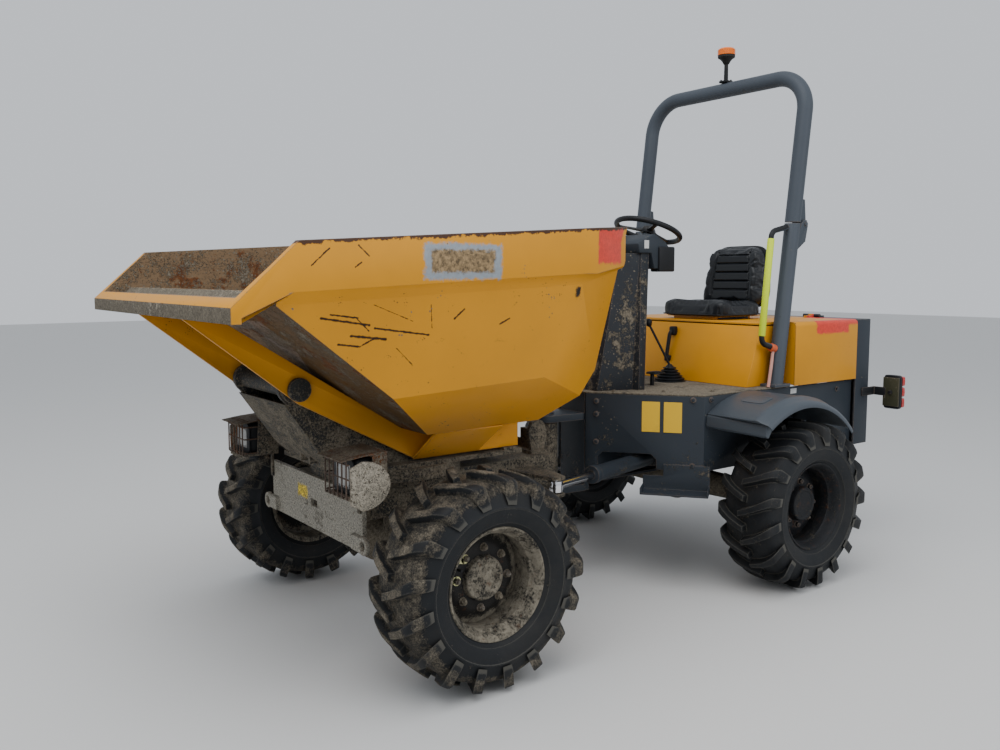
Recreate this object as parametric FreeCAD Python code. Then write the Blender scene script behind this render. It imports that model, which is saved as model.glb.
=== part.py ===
import FreeCAD, Part
import math
import os

# Articulated site dumper with a swivelling front-tipping skip, millimetres.
# +Z up, the machine faces -Y, +X is its left. Origin on the ground under the middle of its box.

V = FreeCAD.Vector

# Overall places
AXLE_HEIGHT = 410.0
FRONT_AXLE_Y = -1000.0
REAR_AXLE_Y = 893.0
TRACK_HALF = 795.0
PIVOT_Y = -50.0
SLEW_Y = -950.0
LIP_TIP_Y = -1940.0

# Clearances
SEAT_GAP = 0.3
RUN_GAP = 0.05
MOVE_GAP = 6.0

# Tyres and rims
TYRE_RADIUS = 410.0
TYRE_HALF_WIDTH = 152.0
CARCASS_RADIUS = 374.0
TREAD_HALF = 120.0
BULGE_RADIUS = 296.0
BEAD_HALF = 105.5
LUG_COUNT = 17
CARCASS_FLATS = 2 * LUG_COUNT
LUG_ROOT_RADIUS = 296.0
LUG_END_X = 150.0
LUG_START_X = -9.0
RIM_FLANGE_RADIUS = 212.5
RIM_SEAT_RADIUS = 196.0
RIM_HALF_WIDTH = 121.0
RIM_SHEET = 7.0
RIM_DISC_X = 42.0
FRONT_CAP_LENGTH = 62.0
REAR_CAP_LENGTH = 44.0
HUB_RADIUS = 84.0
HUB_BACK_X = -60.0
SPINDLE_RADIUS = 32.0
SPINDLE_END_X = 34.0

# Axle beams
AXLE_TUBE_RADIUS = 58.0
BRAKE_DRUM_RADIUS = 104.0
BRAKE_DRUM_LENGTH = 120.0
DIFF_RADIUS = 128.0
DIFF_HALF = 120.0
AXLE_PAD_HALF = 60.0

# Skip
SKIP_WALL = 8.0
RIM_HALF = 863.0
RIM_WALL = 30.0
RIM_FRONT_Y = -1715.0
RIM_FRONT_Z = 1640.0
RIM_REAR_Y = -400.0
RIM_REAR_Z = 1716.0
REAR_WALL_Y = -205.0
LIP_TOP_Z = 1435.0
LIP_UNDER_Z = 1385.0
LIP_BACK_Y = -1790.0
LEDGE_FRONT_Z = 1404.0
LEDGE_REAR_Z = 1566.0
LEDGE_DROP = 38.0
FLOOR_Z = 905.0
FLOOR_FRONT_Y = -1030.0
FLOOR_REAR_Y = -445.0
FLOOR_HALF = 470.0
CREASE_HALF = 778.0
CREASE_FRONT_Z = 1105.0
CREASE_REAR_Z = 1133.0
WALL_TOP_HALF = 838.0
WALL_TOP_Z = 1540.0
REAR_FOOT_Y = -245.0
REAR_FOOT_Z = 1122.0
LIP_BAR_DEPTH = 34.0
TIP_Y = -1480.0
TIP_Z = 1100.0
RIB_HALF = 283.0
RIB_SHEET = 15.0
RIB_FOOT_Z = 768.0
RIB_NOSE_Z = 1042.0
RIB_TOE_Y = -966.0
RIB_HEEL_Y = -430.0
SKIRT_REAR_Y = -650.0
TIP_TUBE_RADIUS = 40.0
LUG_X = 600.0
LUG_SHEET = 16.0
LUG_PIN_Z = 1534.0
LUG_PIN_Y = -168.0

# Swivel frame and turntable
SWIVEL_HALF = 240.0
SWIVEL_SHEET = 20.0
SWIVEL_BASE_TOP = 757.0
SWIVEL_REAR_Y = -420.0
SWIVEL_BASE_SHEET = 20.0
RING_RADIUS = 330.0
RING_BORE = 250.0
RING_SPLIT_Z = 712.0
CHASSIS_TOP_Z = 686.0
SPIGOT_RADIUS = 90.0
TIP_RAM_A = (-1300.0, 845.0)
TIP_RAM_B = (-760.0, 832.0)
TIP_BARREL_RADIUS = 42.0
TIP_ROD_RADIUS = 24.0
TIP_PIN_RADIUS = 20.0
TIP_EYE_RADIUS = 34.0
TIP_EYE_HALF = 30.0
TIP_EAR_X = 36.0
TIP_BARREL_REACH = 440.0

# Front chassis
FRONT_SPINE_HALF = 210.0
FRONT_SPINE_BOTTOM = 520.0
BUMPER_Y = -1290.0
BUMPER_HALF = 440.0
BUMPER_TOP = 690.0
BUMPER_BOTTOM = 462.0
BUMPER_SHEET = 20.0
LAMP_X = 512.0
LAMP_Y = -1400.0
LAMP_Z = 800.0
LAMP_HALF = 82.0
LAMP_HALF_HEIGHT = 70.0
LAMP_DEPTH = 150.0
CAGE_WIRE = 6.0
CAGE_BARS = 6
EYE_X = 466.0
EYE_Z = 500.0
EYE_RADIUS = 36.0
EYE_BORE = 19.0

# Hitch
HITCH_TUBE_RADIUS = 68.0
HITCH_PIN_RADIUS = 34.0
HITCH_LOW_Z = 480.0
HITCH_HIGH_Z = 800.0
YOKE_SHEET = 34.0

# Steering ram
STEER_FRONT = (440.0, -340.0)
STEER_REAR = (230.0, 480.0)
STEER_Z = 596.0
STEER_BARREL_RADIUS = 38.0
STEER_ROD_RADIUS = 20.0
STEER_EYE_RADIUS = 34.0
STEER_PIN_RADIUS = 16.0
STEER_EYE_HALF = 24.0
STEER_BARREL_REACH = 560.0
STEER_STROKE = 205.0
EAR_SHEET = 14.0

# Rear frame
DECK_Z = 950.0
DECK_SHEET = 8.0
PLATE_SHEET = 10.0
PLATE_BOTTOM = 572.0
NOSE_HALF = 107.0
NOSE_Y = 130.0
BODY_HALF = 592.0
SHOULDER_X = BODY_HALF - 22.0
SHOULDER_Y = 485.0
REAR_PANEL_Y = 1700.0
REAR_PANEL_DEPTH = 150.0
REAR_END_Y = REAR_PANEL_Y + REAR_PANEL_DEPTH
TAIL_LAMP_REACH = 90.0
TAIL_Y = REAR_END_Y + TAIL_LAMP_REACH
SPINE_HALF = 130.0
SPINE_BOTTOM = 500.0
SPINE_TOP = 640.0
SPINE_SHEET = 12.0
SPINE_FLANGE = 40.0
NOTCH_X0 = 150.0
NOTCH_X1 = 388.0
NOTCH_TOP = 648.0
STEP_Z = 470.0
STEP_START_X = 338.0
STEP_LENGTH = 326.0
STEP_DEPTH = 120.0
STEP_SHEET = 8.0
STEP_LIP = 34.0
STEP_WEB_TOP = 545.0
STEP_RAM_ROOM = 100.0

# Mudguards
ARCH_Y = 800.0
ARCH_Z = 420.0
ARCH_RADIUS = 528.0
ARCH_EDGE_RADIUS = 496.0
ARCH_INNER_X = SHOULDER_X + SEAT_GAP
ARCH_CROWN_X = 880.0
ARCH_OUTER_X = 935.0
ARCH_SHEET = 6.0
ARCH_FRONT_DEG = 124.0
ARCH_REAR_DEG = 42.0

# Seat, bonnet and controls
SEAT_BOX_HALF = BODY_HALF - 92.0
SEAT_BOX_FOOT_Y = 880.0
SEAT_BOX_HEAD_Y = 985.0
SEAT_BOX_TOP = 1268.0
SEAT_BOX_REAR_Y = 1130.0
PANEL_SHEET = 6.0
BONNET_HALF = BODY_HALF + 8.0
BONNET_FRONT_Y = 1142.0
BONNET_TOP = 1282.0
HINGE_Y = REAR_PANEL_Y - 3.0
HINGE_Z = BONNET_TOP + 11.0
HINGE_RADIUS = 9.0
HINGE_PIN_RADIUS = 5.0
HINGE_X = 300.0
KNUCKLE_LENGTH = 36.0
ENGINE_HALF = 210.0
ENGINE_TOP = BONNET_TOP - 132.0
SEAT_HALF = 240.0
SEAT_FRONT_Y = 1000.0
SEAT_BASE_Z = 1300.0
SEAT_TOP_Z = 1380.0
BACK_TOP_Z = 1700.0
CONSOLE_TOP_Z = 1640.0
WHEEL_CENTRE = (0.0, 660.0, CONSOLE_TOP_Z + 125.0)
WHEEL_LEAN = 20.0
WHEEL_RADIUS = 172.0
WHEEL_GRIP = 13.0
WHEEL_HUB_DEPTH = 18.0

# Roll hoop
POST_X = SEAT_BOX_HALF + 45.0
POST_RADIUS = 40.0
POST_FOOT_Y = 1052.0
POST_LEAN = 0.128
FOLD_Z = 1795.0
HOOP_TOP_Z = 2560.0
HOOP_BEND = 190.0
BEACON_TOP = 2790.0


def block(x0, x1, y0, y1, z0, z1):
    return Part.makeBox(x1 - x0, y1 - y0, z1 - z0, V(x0, y0, z0))


def prism(points, shift):
    edge_points = [V(*p) for p in points]
    face = Part.Face(Part.makePolygon(edge_points + [edge_points[0]]))
    return face.extrude(V(*shift))


def side_prism(points_yz, x0, x1):
    return prism([(x0, y, z) for y, z in points_yz], (x1 - x0, 0, 0))


def plan_prism(points_xy, z0, z1):
    return prism([(x, y, z0) for x, y in points_xy], (0, 0, z1 - z0))


def face_prism(points_xz, y0, y1):
    return prism([(x, y0, z) for x, z in points_xz], (0, y1 - y0, 0))


def rod(start, end, radius):
    a = V(*start)
    b = V(*end)
    return Part.makeCylinder(radius, (b - a).Length, a, b - a)


def fused(shapes):
    shapes = list(shapes)
    if len(shapes) == 1:
        return shapes[0]
    return shapes[0].multiFuse(shapes[1:]).removeSplitter()


def mirrored(shape):
    return shape.mirror(V(0, 0, 0), V(1, 0, 0))


def turned(profile, centre, axis_direction):
    """A closed profile of (along the axis, radius) points turned about an axis along X through centre."""
    points = [V(centre[0] + axis_direction * a, centre[1], centre[2] + r) for a, r in profile]
    face = Part.Face(Part.makePolygon(points + [points[0]]))
    return face.revolve(V(*centre), V(1, 0, 0), 360)


def bent_pipe(points, bend, radius):
    """A round bar along straight runs joined by tangent arcs of one bend radius."""
    corners = [V(*p) for p in points]
    edges = []
    start = corners[0]
    for before, corner, after in zip(corners, corners[1:], corners[2:]):
        to_start = (before - corner).normalize()
        to_end = (after - corner).normalize()
        half = to_start.getAngle(to_end) / 2
        reach = bend / math.tan(half)
        centre = corner + (to_start + to_end).normalize() * (bend / math.sin(half))
        arc_start = corner + to_start * reach
        arc_end = corner + to_end * reach
        arc_middle = centre + (corner - centre).normalize() * bend
        edges.append(Part.LineSegment(start, arc_start).toShape())
        edges.append(Part.Arc(arc_start, arc_middle, arc_end).toShape())
        start = arc_end
    edges.append(Part.LineSegment(start, corners[-1]).toShape())
    ring = Part.Wire(Part.makeCircle(radius, corners[0], corners[1] - corners[0]))
    return Part.Wire(edges).makePipeShell([ring], True, False)


def plane_cut(solid, point, normal):
    """Keep the side of a plane that its normal points away from."""
    reach = 6000.0
    cutter = Part.makeBox(reach, reach, reach, V(-reach / 2, -reach / 2, 0))
    cutter.Placement = FreeCAD.Placement(V(*point), FreeCAD.Rotation(V(0, 0, 1), V(*normal)))
    return solid.cut(cutter)


def convex_solid(planes, inset):
    """A solid bounded by planes of (point, outward normal), each moved inwards by inset."""
    solid = block(-1200, 1200, -2400, 400, 400, 2000)
    for point, normal in planes:
        outward = V(*normal).normalize()
        solid = plane_cut(solid, V(*point) - outward * inset, outward)
    return solid


def plane_through(a, b, c, outward):
    normal = (V(*b) - V(*a)).cross(V(*c) - V(*a))
    if normal.dot(V(*outward)) < 0:
        normal = -normal
    return (a, (normal.x, normal.y, normal.z))


def flip_x(plane):
    (x, y, z), (nx, ny, nz) = plane
    return ((-x, y, z), (-nx, ny, nz))


def save(name, shape):
    shape.exportStep("parts/" + name + ".step")


# Tyres and rims, modelled with the axle through the origin and the outer face towards +X

def make_carcass():
    """A ring of flats, so that it stays light as a mesh."""
    # along the axle, distance of the flats from the axle
    half_section = [(TREAD_HALF, CARCASS_RADIUS), (TYRE_HALF_WIDTH, BULGE_RADIUS), (BEAD_HALF, RIM_SEAT_RADIUS)]
    section = half_section + [(-a, r) for a, r in reversed(half_section)]
    pitch = 2 * math.pi / CARCASS_FLATS
    loops = []
    for a, r in section:
        corner = r / math.cos(pitch / 2)
        loops.append([V(a, corner * math.sin(i * pitch), corner * math.cos(i * pitch)) for i in range(CARCASS_FLATS + 1)])
    faces = []
    for near, far in zip(loops, loops[1:] + loops[:1]):
        for i in range(CARCASS_FLATS):
            corners = [near[i], near[i + 1], far[i + 1], far[i]]
            faces.append(Part.Face(Part.makePolygon(corners + [corners[0]])))
    return Part.Solid(Part.Shell(faces))


def make_tyre():
    # axle position, centre along the tread, half width along the tread
    lug_stations = [(LUG_START_X, -46.0, 18.0), (LUG_END_X, 42.0, 22.0)]
    reach = max(abs(t) + half for _, t, half in lug_stations)
    top = math.sqrt(TYRE_RADIUS ** 2 - reach ** 2)
    near_edge = [(a, t - half) for a, t, half in lug_stations]
    far_edge = [(a, t + half) for a, t, half in reversed(lug_stations)]
    lug = plan_prism(near_edge + far_edge, LUG_ROOT_RADIUS, top)
    pitch = 360.0 / LUG_COUNT
    lowest = 180.0 + math.degrees(math.asin(reach / TYRE_RADIUS))
    lugs = []
    for i in range(LUG_COUNT):
        turn = lowest + i * pitch
        lugs.append(lug.copy().rotate(V(0, 0, 0), V(1, 0, 0), turn))
        lugs.append(mirrored(lug).rotate(V(0, 0, 0), V(1, 0, 0), turn + pitch / 2))
    return fused([make_carcass()] + lugs)


def make_rim(cap_length, disc_x):
    seat = RIM_SEAT_RADIUS - SEAT_GAP
    edge = RIM_HALF_WIDTH
    inner_edge = edge - RIM_SHEET
    # along the axle, radius
    barrel = [(-edge, seat - RIM_SHEET), (-edge, RIM_FLANGE_RADIUS), (-inner_edge, RIM_FLANGE_RADIUS),
              (-inner_edge, seat), (inner_edge, seat), (inner_edge, RIM_FLANGE_RADIUS),
              (edge, RIM_FLANGE_RADIUS), (edge, seat - RIM_SHEET)]
    disc = [(disc_x - 6, SPINDLE_RADIUS + RUN_GAP), (disc_x - 6, 118), (disc_x - 40, seat - RIM_SHEET - 1),
            (disc_x - 40, seat - 1), (disc_x - 26, seat - 1), (disc_x + 6, 128),
            (disc_x + 6, SPINDLE_RADIUS + RUN_GAP)]
    hub = [(HUB_BACK_X, SPINDLE_RADIUS + RUN_GAP), (HUB_BACK_X, HUB_RADIUS), (disc_x, HUB_RADIUS),
           (disc_x + 14, HUB_RADIUS - 4), (disc_x + 16, 58), (disc_x + cap_length - 8, 54),
           (disc_x + cap_length, 44), (disc_x + cap_length, 0), (SPINDLE_END_X + 4, 0),
           (SPINDLE_END_X + 4, SPINDLE_RADIUS + RUN_GAP)]
    return fused([turned(section, (0, 0, 0), 1) for section in (barrel, disc, hub)])


def place_wheel(shape, side, axle_y):
    placed = shape if side > 0 else mirrored(shape)
    return placed.copy().translate(V(side * TRACK_HALF, axle_y, AXLE_HEIGHT))


def make_axle(axle_y, pad_x, pad_z):
    inner_x = TRACK_HALF + HUB_BACK_X - MOVE_GAP
    drum_start = inner_x - BRAKE_DRUM_LENGTH
    # from the middle outwards, radius
    half_profile = [(0, 0), (0, DIFF_RADIUS), (45, DIFF_RADIUS), (DIFF_HALF, AXLE_TUBE_RADIUS + 12),
                    (drum_start - 30, AXLE_TUBE_RADIUS), (drum_start, BRAKE_DRUM_RADIUS),
                    (inner_x, BRAKE_DRUM_RADIUS), (inner_x, SPINDLE_RADIUS),
                    (TRACK_HALF + SPINDLE_END_X, SPINDLE_RADIUS), (TRACK_HALF + SPINDLE_END_X, 0)]
    centre = (0, axle_y, AXLE_HEIGHT)
    beam = fused([turned(half_profile, centre, 1), turned(half_profile, centre, -1)])
    pads = [block(x - 35, x + 35, axle_y - AXLE_PAD_HALF, axle_y + AXLE_PAD_HALF, AXLE_HEIGHT, pad_z)
            for x in (-pad_x, pad_x)]
    return fused([beam] + pads)


# Skip

def skip_planes():
    side = ((WALL_TOP_HALF, 0, WALL_TOP_Z), (WALL_TOP_Z - CREASE_FRONT_Z, 0, CREASE_HALF - WALL_TOP_HALF))
    belly = plane_through((CREASE_HALF, -1340, CREASE_FRONT_Z), (CREASE_HALF, -670, CREASE_REAR_Z),
                          (FLOOR_HALF, -800, FLOOR_Z), (1, 0, -1))
    corner = plane_through((848, -500, 1620), (733, -235, 1620), (775, -668, 1125), (1, 1, 0))
    rear = plane_through((0, REAR_FOOT_Y, REAR_FOOT_Z), (100, REAR_FOOT_Y, REAR_FOOT_Z),
                         (0, REAR_FOOT_Y + 16, WALL_TOP_Z), (0, 1, 0))
    rear_low = plane_through((0, REAR_FOOT_Y, REAR_FOOT_Z), (100, REAR_FOOT_Y, REAR_FOOT_Z),
                             (0, FLOOR_REAR_Y, FLOOR_Z), (0, 1, -1))
    floor = ((0, 0, FLOOR_Z), (0, 0, -1))
    planes = [floor, rear, rear_low]
    for plane in (side, belly, corner):
        planes.append(plane)
        planes.append(flip_x(plane))
    return planes


def under_front(inset):
    """What lies under the sloping front plate and the level lip, raised by the wall for the inside."""
    slope = math.atan2(LIP_UNDER_Z - FLOOR_Z, FLOOR_FRONT_Y - LIP_BACK_Y)
    rise = inset / math.cos(slope)
    flat = FLOOR_FRONT_Y - (rise - inset) / math.tan(slope)
    back = LIP_BACK_Y - (rise - inset) / math.tan(slope)
    points = [(-2500, 300), (-2500, LIP_UNDER_Z + inset), (back, LIP_UNDER_Z + inset),
              (flat, FLOOR_Z + inset), (flat + 400, FLOOR_Z + inset - 400 * math.tan(slope)), (flat + 400, 300)]
    return side_prism(points, -1300, 1300)


def mouth_planes():
    rim = plane_through((0, RIM_FRONT_Y, RIM_FRONT_Z), (100, RIM_FRONT_Y, RIM_FRONT_Z),
                        (0, RIM_REAR_Y, RIM_REAR_Z), (0, 0, 1))
    brow = plane_through((0, LIP_TIP_Y, LIP_TOP_Z), (100, LIP_TIP_Y, LIP_TOP_Z),
                         (0, RIM_FRONT_Y, RIM_FRONT_Z), (0, -1, 1))
    front = ((0, LIP_TIP_Y, 0), (0, -1, 0))
    return [rim, brow, front]


def band_planes(inset):
    side = ((RIM_HALF - inset, 0, 0), (1, 0, 0))
    rear = ((0, REAR_WALL_Y - inset, 0), (0, 1, 0))
    corner_out = V(270, 130, 0).normalize()
    corner = ((RIM_HALF - corner_out.x * inset, -480 - corner_out.y * inset, 0), (270, 130, 0))
    return [side, flip_x(side), rear, corner, flip_x(corner)]


def ledge_planes():
    """The band's under side: sheet folded back to the wall all round."""
    level = plane_through((0, -1900, LEDGE_FRONT_Z), (100, -1900, LEDGE_FRONT_Z),
                          (0, -490, LEDGE_REAR_Z), (0, 0, -1))
    folds = []
    for point, normal in (((RIM_HALF, -1900, LEDGE_FRONT_Z), (1, 0, -0.7)),
                          ((0, REAR_WALL_Y, LEDGE_REAR_Z + 20), (0, 1, -0.7)),
                          ((RIM_HALF, -480, LEDGE_REAR_Z), (0.9, 0.435, -0.7))):
        folds.append((point, normal))
    return level, folds


def make_skip_shell():
    walls = convex_solid(skip_planes() + mouth_planes(), 0).cut(under_front(0))
    level, folds = ledge_planes()
    dropped_level = ((0, level[0][1], level[0][2] - LEDGE_DROP), level[1])
    side_fold, rear_fold, corner_fold = folds
    slope_normal = (side_fold[1][0], side_fold[1][2] * level[1][1] / -level[1][2], side_fold[1][2])
    side_fold = (side_fold[0], slope_normal)
    band = convex_solid(band_planes(0) + mouth_planes() + [dropped_level, side_fold, flip_x(side_fold),
                        rear_fold, corner_fold, flip_x(corner_fold)], 0)
    band = band.cut(under_front(0))
    body = fused([walls, band])
    hollow = convex_solid(skip_planes(), SKIP_WALL).common(convex_solid(band_planes(RIM_WALL), 0))
    hollow = hollow.cut(under_front(SKIP_WALL))
    return body, body.cut(hollow)


def make_skip_rib(outer):
    """One of the two long plates under the skip, with its sloping skirt, its bore and its ear for the ram."""
    profile = [(-1906, LIP_UNDER_Z - 4), (TIP_Y + 3, RIB_NOSE_Z), (RIB_TOE_Y, RIB_FOOT_Z),
               (RIB_HEEL_Y, RIB_FOOT_Z), (RIB_HEEL_Y, FLOOR_Z + 120), (-1500, FLOOR_Z + 420),
               (LIP_BACK_Y, LIP_UNDER_Z + 20), (-1906, LIP_UNDER_Z + 20)]
    rib = side_prism(profile, RIB_HALF - RIB_SHEET, RIB_HALF)
    skirt = face_prism([(RIB_HALF, RIB_FOOT_Z), (RIB_HALF, RIB_FOOT_Z + 12), (FLOOR_HALF - 12, FLOOR_Z + 2),
                        (FLOOR_HALF, FLOOR_Z + 2), (FLOOR_HALF, FLOOR_Z - 4)], RIB_TOE_Y - 14, SKIRT_REAR_Y)
    bore = rod((0, TIP_Y, TIP_Z), (RIB_HALF + 50, TIP_Y, TIP_Z), TIP_TUBE_RADIUS + RUN_GAP)
    by, bz = TIP_RAM_B
    ear = make_ear(by, bz, TIP_EYE_RADIUS, FLOOR_Z + 5, TIP_EAR_X, TIP_EAR_X + EAR_SHEET)
    brace = block(TIP_EAR_X + EAR_SHEET - 2, RIB_HALF - RIB_SHEET + 2, by - 7, by + 7, bz + 16, FLOOR_Z + 5)
    return fused([rib, skirt, ear, brace]).cut(outer).cut(bore)


def make_rear_lug():
    y0 = -245.0
    plate = side_prism([(y0, LUG_PIN_Z + 45), (LUG_PIN_Y + 22, LUG_PIN_Z + 22), (LUG_PIN_Y + 22, LUG_PIN_Z - 16),
                        (y0, LUG_PIN_Z - 112)], LUG_X - LUG_SHEET / 2, LUG_X + LUG_SHEET / 2)
    pin = rod((LUG_X - 26, LUG_PIN_Y, LUG_PIN_Z), (LUG_X + 26, LUG_PIN_Y, LUG_PIN_Z), 14)
    return fused([plate, pin])


def make_lip_bar():
    """The wear bar along the front edge, with its ends turned up the brow of each side wall."""
    bar = block(-RIM_HALF, RIM_HALF, LIP_TIP_Y, LIP_TIP_Y + LIP_BAR_DEPTH, LIP_UNDER_Z, LIP_TOP_Z + 60)
    for plane in mouth_planes():
        bar = plane_cut(bar, *plane)
    return bar


# Swivel frame

def make_swivel_frame():
    knee_y = TIP_Y + 128
    knee_z = SWIVEL_BASE_TOP + 58
    profile = [(TIP_Y - 40, TIP_Z - 46), (knee_y, knee_z), (knee_y + 62, SWIVEL_BASE_TOP),
               (SWIVEL_REAR_Y, SWIVEL_BASE_TOP), (SWIVEL_REAR_Y, knee_z - 5), (TIP_Y + 470, TIP_Z - 250),
               (TIP_Y + 62, TIP_Z - 12)]
    plate = side_prism(profile, SWIVEL_HALF - SWIVEL_SHEET, SWIVEL_HALF)
    boss = rod((SWIVEL_HALF - SWIVEL_SHEET, TIP_Y, TIP_Z), (SWIVEL_HALF, TIP_Y, TIP_Z), 62)
    tube = rod((0, TIP_Y, TIP_Z), (RIB_HALF + 2, TIP_Y, TIP_Z), TIP_TUBE_RADIUS)
    collar = rod((SWIVEL_HALF, TIP_Y, TIP_Z), (RIB_HALF - RIB_SHEET - 5.5, TIP_Y, TIP_Z), 56)
    ay, az = TIP_RAM_A
    ear = make_ear(ay, az, TIP_EYE_RADIUS, SWIVEL_BASE_TOP - 2, TIP_EAR_X, TIP_EAR_X + EAR_SHEET)
    half = fused([plate, boss, tube, collar])
    sloping = side_prism([(TIP_Y - 30, TIP_Z - 60), (TIP_Y - 40, TIP_Z - 60), (knee_y - 12, knee_z),
                          (knee_y + 52, SWIVEL_BASE_TOP), (knee_y + 70, SWIVEL_BASE_TOP), (knee_y + 7, knee_z + 7)],
                         -SWIVEL_HALF, SWIVEL_HALF)
    base_half = SWIVEL_HALF + 60
    base = block(-base_half, base_half, knee_y + 52, SWIVEL_REAR_Y, SWIVEL_BASE_TOP - SWIVEL_BASE_SHEET, SWIVEL_BASE_TOP)
    rest = block(SWIVEL_HALF + 8, base_half, SWIVEL_REAR_Y - 100, SWIVEL_REAR_Y - 30, SWIVEL_BASE_TOP,
                 RIB_FOOT_Z - SEAT_GAP)
    ring = Part.makeCylinder(RING_RADIUS, SWIVEL_BASE_TOP - SWIVEL_BASE_SHEET - RING_SPLIT_Z - SEAT_GAP,
                             V(0, SLEW_Y, RING_SPLIT_Z + SEAT_GAP))
    spigot = Part.makeCylinder(SPIGOT_RADIUS, 60, V(0, SLEW_Y, RING_SPLIT_Z - 50))
    return fused([half, mirrored(half), sloping, base, rest, mirrored(rest), ring, spigot, ear, mirrored(ear)])


def make_ear(y, z, radius, foot_z, x0, x1):
    """A plate round a pin at (y, z), standing on or hanging from foot_z."""
    low, high = sorted((z, foot_z))
    return fused([block(x0, x1, y - radius, y + radius, low, high), rod((x0, y, z), (x1, y, z), radius)])


def make_ram(base, tip, across, barrel_radius, rod_radius, eye_radius, pin_radius, eye_half, barrel_reach, stroke_in):
    """A ram between its pins: the barrel with a bored eye, and the rod, which carries its own pin."""
    a = V(*base)
    b = V(*tip)
    axis = V(*across)
    along = (b - a).normalize()
    body_start = eye_radius + 14
    neck = Part.makeCylinder(eye_half - 3, body_start + 2, a, along)
    body = Part.makeCylinder(barrel_radius, barrel_reach - body_start, a + along * body_start, along)
    gland = Part.makeCylinder(barrel_radius + 5, 34, a + along * (barrel_reach - 34), along)
    eye = Part.makeCylinder(eye_radius, 2 * eye_half, a - axis * eye_half, axis)
    bore = Part.makeCylinder(pin_radius + RUN_GAP, 2 * eye_half + 2, a - axis * (eye_half + 1), axis)
    throat = Part.makeCylinder(rod_radius + RUN_GAP, barrel_reach, a + along * (body_start + 12), along)
    barrel = fused([neck, body, gland, eye]).cut(bore).cut(throat)
    rod_start = body_start + 16 + stroke_in
    bar = Part.makeCylinder(rod_radius, (b - a).Length - eye_radius * 0.8 - rod_start, a + along * rod_start, along)
    rod_eye = Part.makeCylinder(eye_radius, 2 * eye_half, b - axis * eye_half, axis)
    pin = Part.makeCylinder(pin_radius, 2 * (eye_half + 5), b - axis * (eye_half + 5), axis)
    return barrel, fused([bar, rod_eye, pin])


# Front chassis

def make_front_chassis():
    top = CHASSIS_TOP_Z
    outer = block(-FRONT_SPINE_HALF, FRONT_SPINE_HALF, BUMPER_Y + 10, -180, FRONT_SPINE_BOTTOM, top)
    inner = block(-FRONT_SPINE_HALF + 22, FRONT_SPINE_HALF - 22, BUMPER_Y + 30, -200, FRONT_SPINE_BOTTOM - 1, top - 20)
    shell = outer.cut(inner)
    ring = Part.makeCylinder(RING_RADIUS, RING_SPLIT_Z - top, V(0, SLEW_Y, top))
    bore = Part.makeCylinder(SPIGOT_RADIUS + RUN_GAP, 200, V(0, SLEW_Y, top - 60))
    cross = block(-FRONT_SPINE_HALF + 22, FRONT_SPINE_HALF - 22, -640, -610, FRONT_SPINE_BOTTOM, top - 20)
    fx, fy = STEER_FRONT
    ears = []
    for z0 in (STEER_Z + STEER_EYE_HALF + 7, STEER_Z - STEER_EYE_HALF - 7 - EAR_SHEET):
        tongue = plan_prism([(FRONT_SPINE_HALF - 4, fy - 90), (fx - 10, fy - 44), (fx + 30, fy - 30), (fx + 40, fy),
                             (fx + 30, fy + 32), (fx - 20, fy + 44), (FRONT_SPINE_HALF - 4, fy + 80)], z0, z0 + EAR_SHEET)
        ears.append(tongue)
    return fused([shell, ring, cross, make_front_hitch()] + ears).cut(bore)


def make_front_hitch():
    tube = Part.makeCylinder(HITCH_TUBE_RADIUS, HITCH_HIGH_Z - HITCH_LOW_Z, V(0, PIVOT_Y, HITCH_LOW_Z))
    web = block(-42, 42, -168, PIVOT_Y, HITCH_LOW_Z + 20, HITCH_HIGH_Z - 20)
    plate = block(-FRONT_SPINE_HALF, FRONT_SPINE_HALF, -180, -160, HITCH_LOW_Z, CHASSIS_TOP_Z)
    cheek = side_prism([(-240, CHASSIS_TOP_Z), (-150, CHASSIS_TOP_Z), (-150, 790),
                        (-172, 835), (-205, 846), (-236, 835), (-258, 790)], 120, 142)
    foot = block(96, 166, -262, -160, CHASSIS_TOP_Z, CHASSIS_TOP_Z + 14)
    neck = block(-142, 142, -166, -154, CHASSIS_TOP_Z - 40, CHASSIS_TOP_Z + 40)
    bore = Part.makeCylinder(HITCH_PIN_RADIUS + RUN_GAP, 600, V(0, PIVOT_Y, 300))
    return fused([tube, web, plate, cheek, mirrored(cheek), foot, mirrored(foot), neck]).cut(bore)


def make_bumper():
    plate = face_prism([(-BUMPER_HALF, BUMPER_TOP), (-BUMPER_HALF, BUMPER_BOTTOM + 18),
                        (-BUMPER_HALF + 18, BUMPER_BOTTOM), (BUMPER_HALF - 18, BUMPER_BOTTOM),
                        (BUMPER_HALF, BUMPER_BOTTOM + 18), (BUMPER_HALF, BUMPER_TOP)],
                       BUMPER_Y - 10, BUMPER_Y + 10 - SEAT_GAP)
    slot = block(-32, 32, BUMPER_Y - 20, BUMPER_Y + 20, 560, 590)
    eye = make_tie_down_eye()
    return fused([plate.cut(slot), eye, mirrored(eye)])


def make_tie_down_eye():
    disc = Part.makeCylinder(EYE_RADIUS, 18, V(EYE_X, BUMPER_Y - 28, EYE_Z), V(0, 1, 0))
    tongue = block(BUMPER_HALF - 70, EYE_X, BUMPER_Y - 28, BUMPER_Y - 10, EYE_Z - 30, EYE_Z + 30)
    hole = Part.makeCylinder(EYE_BORE, 60, V(EYE_X, BUMPER_Y - 50, EYE_Z), V(0, 1, 0))
    return fused([disc, tongue]).cut(hole)


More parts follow.
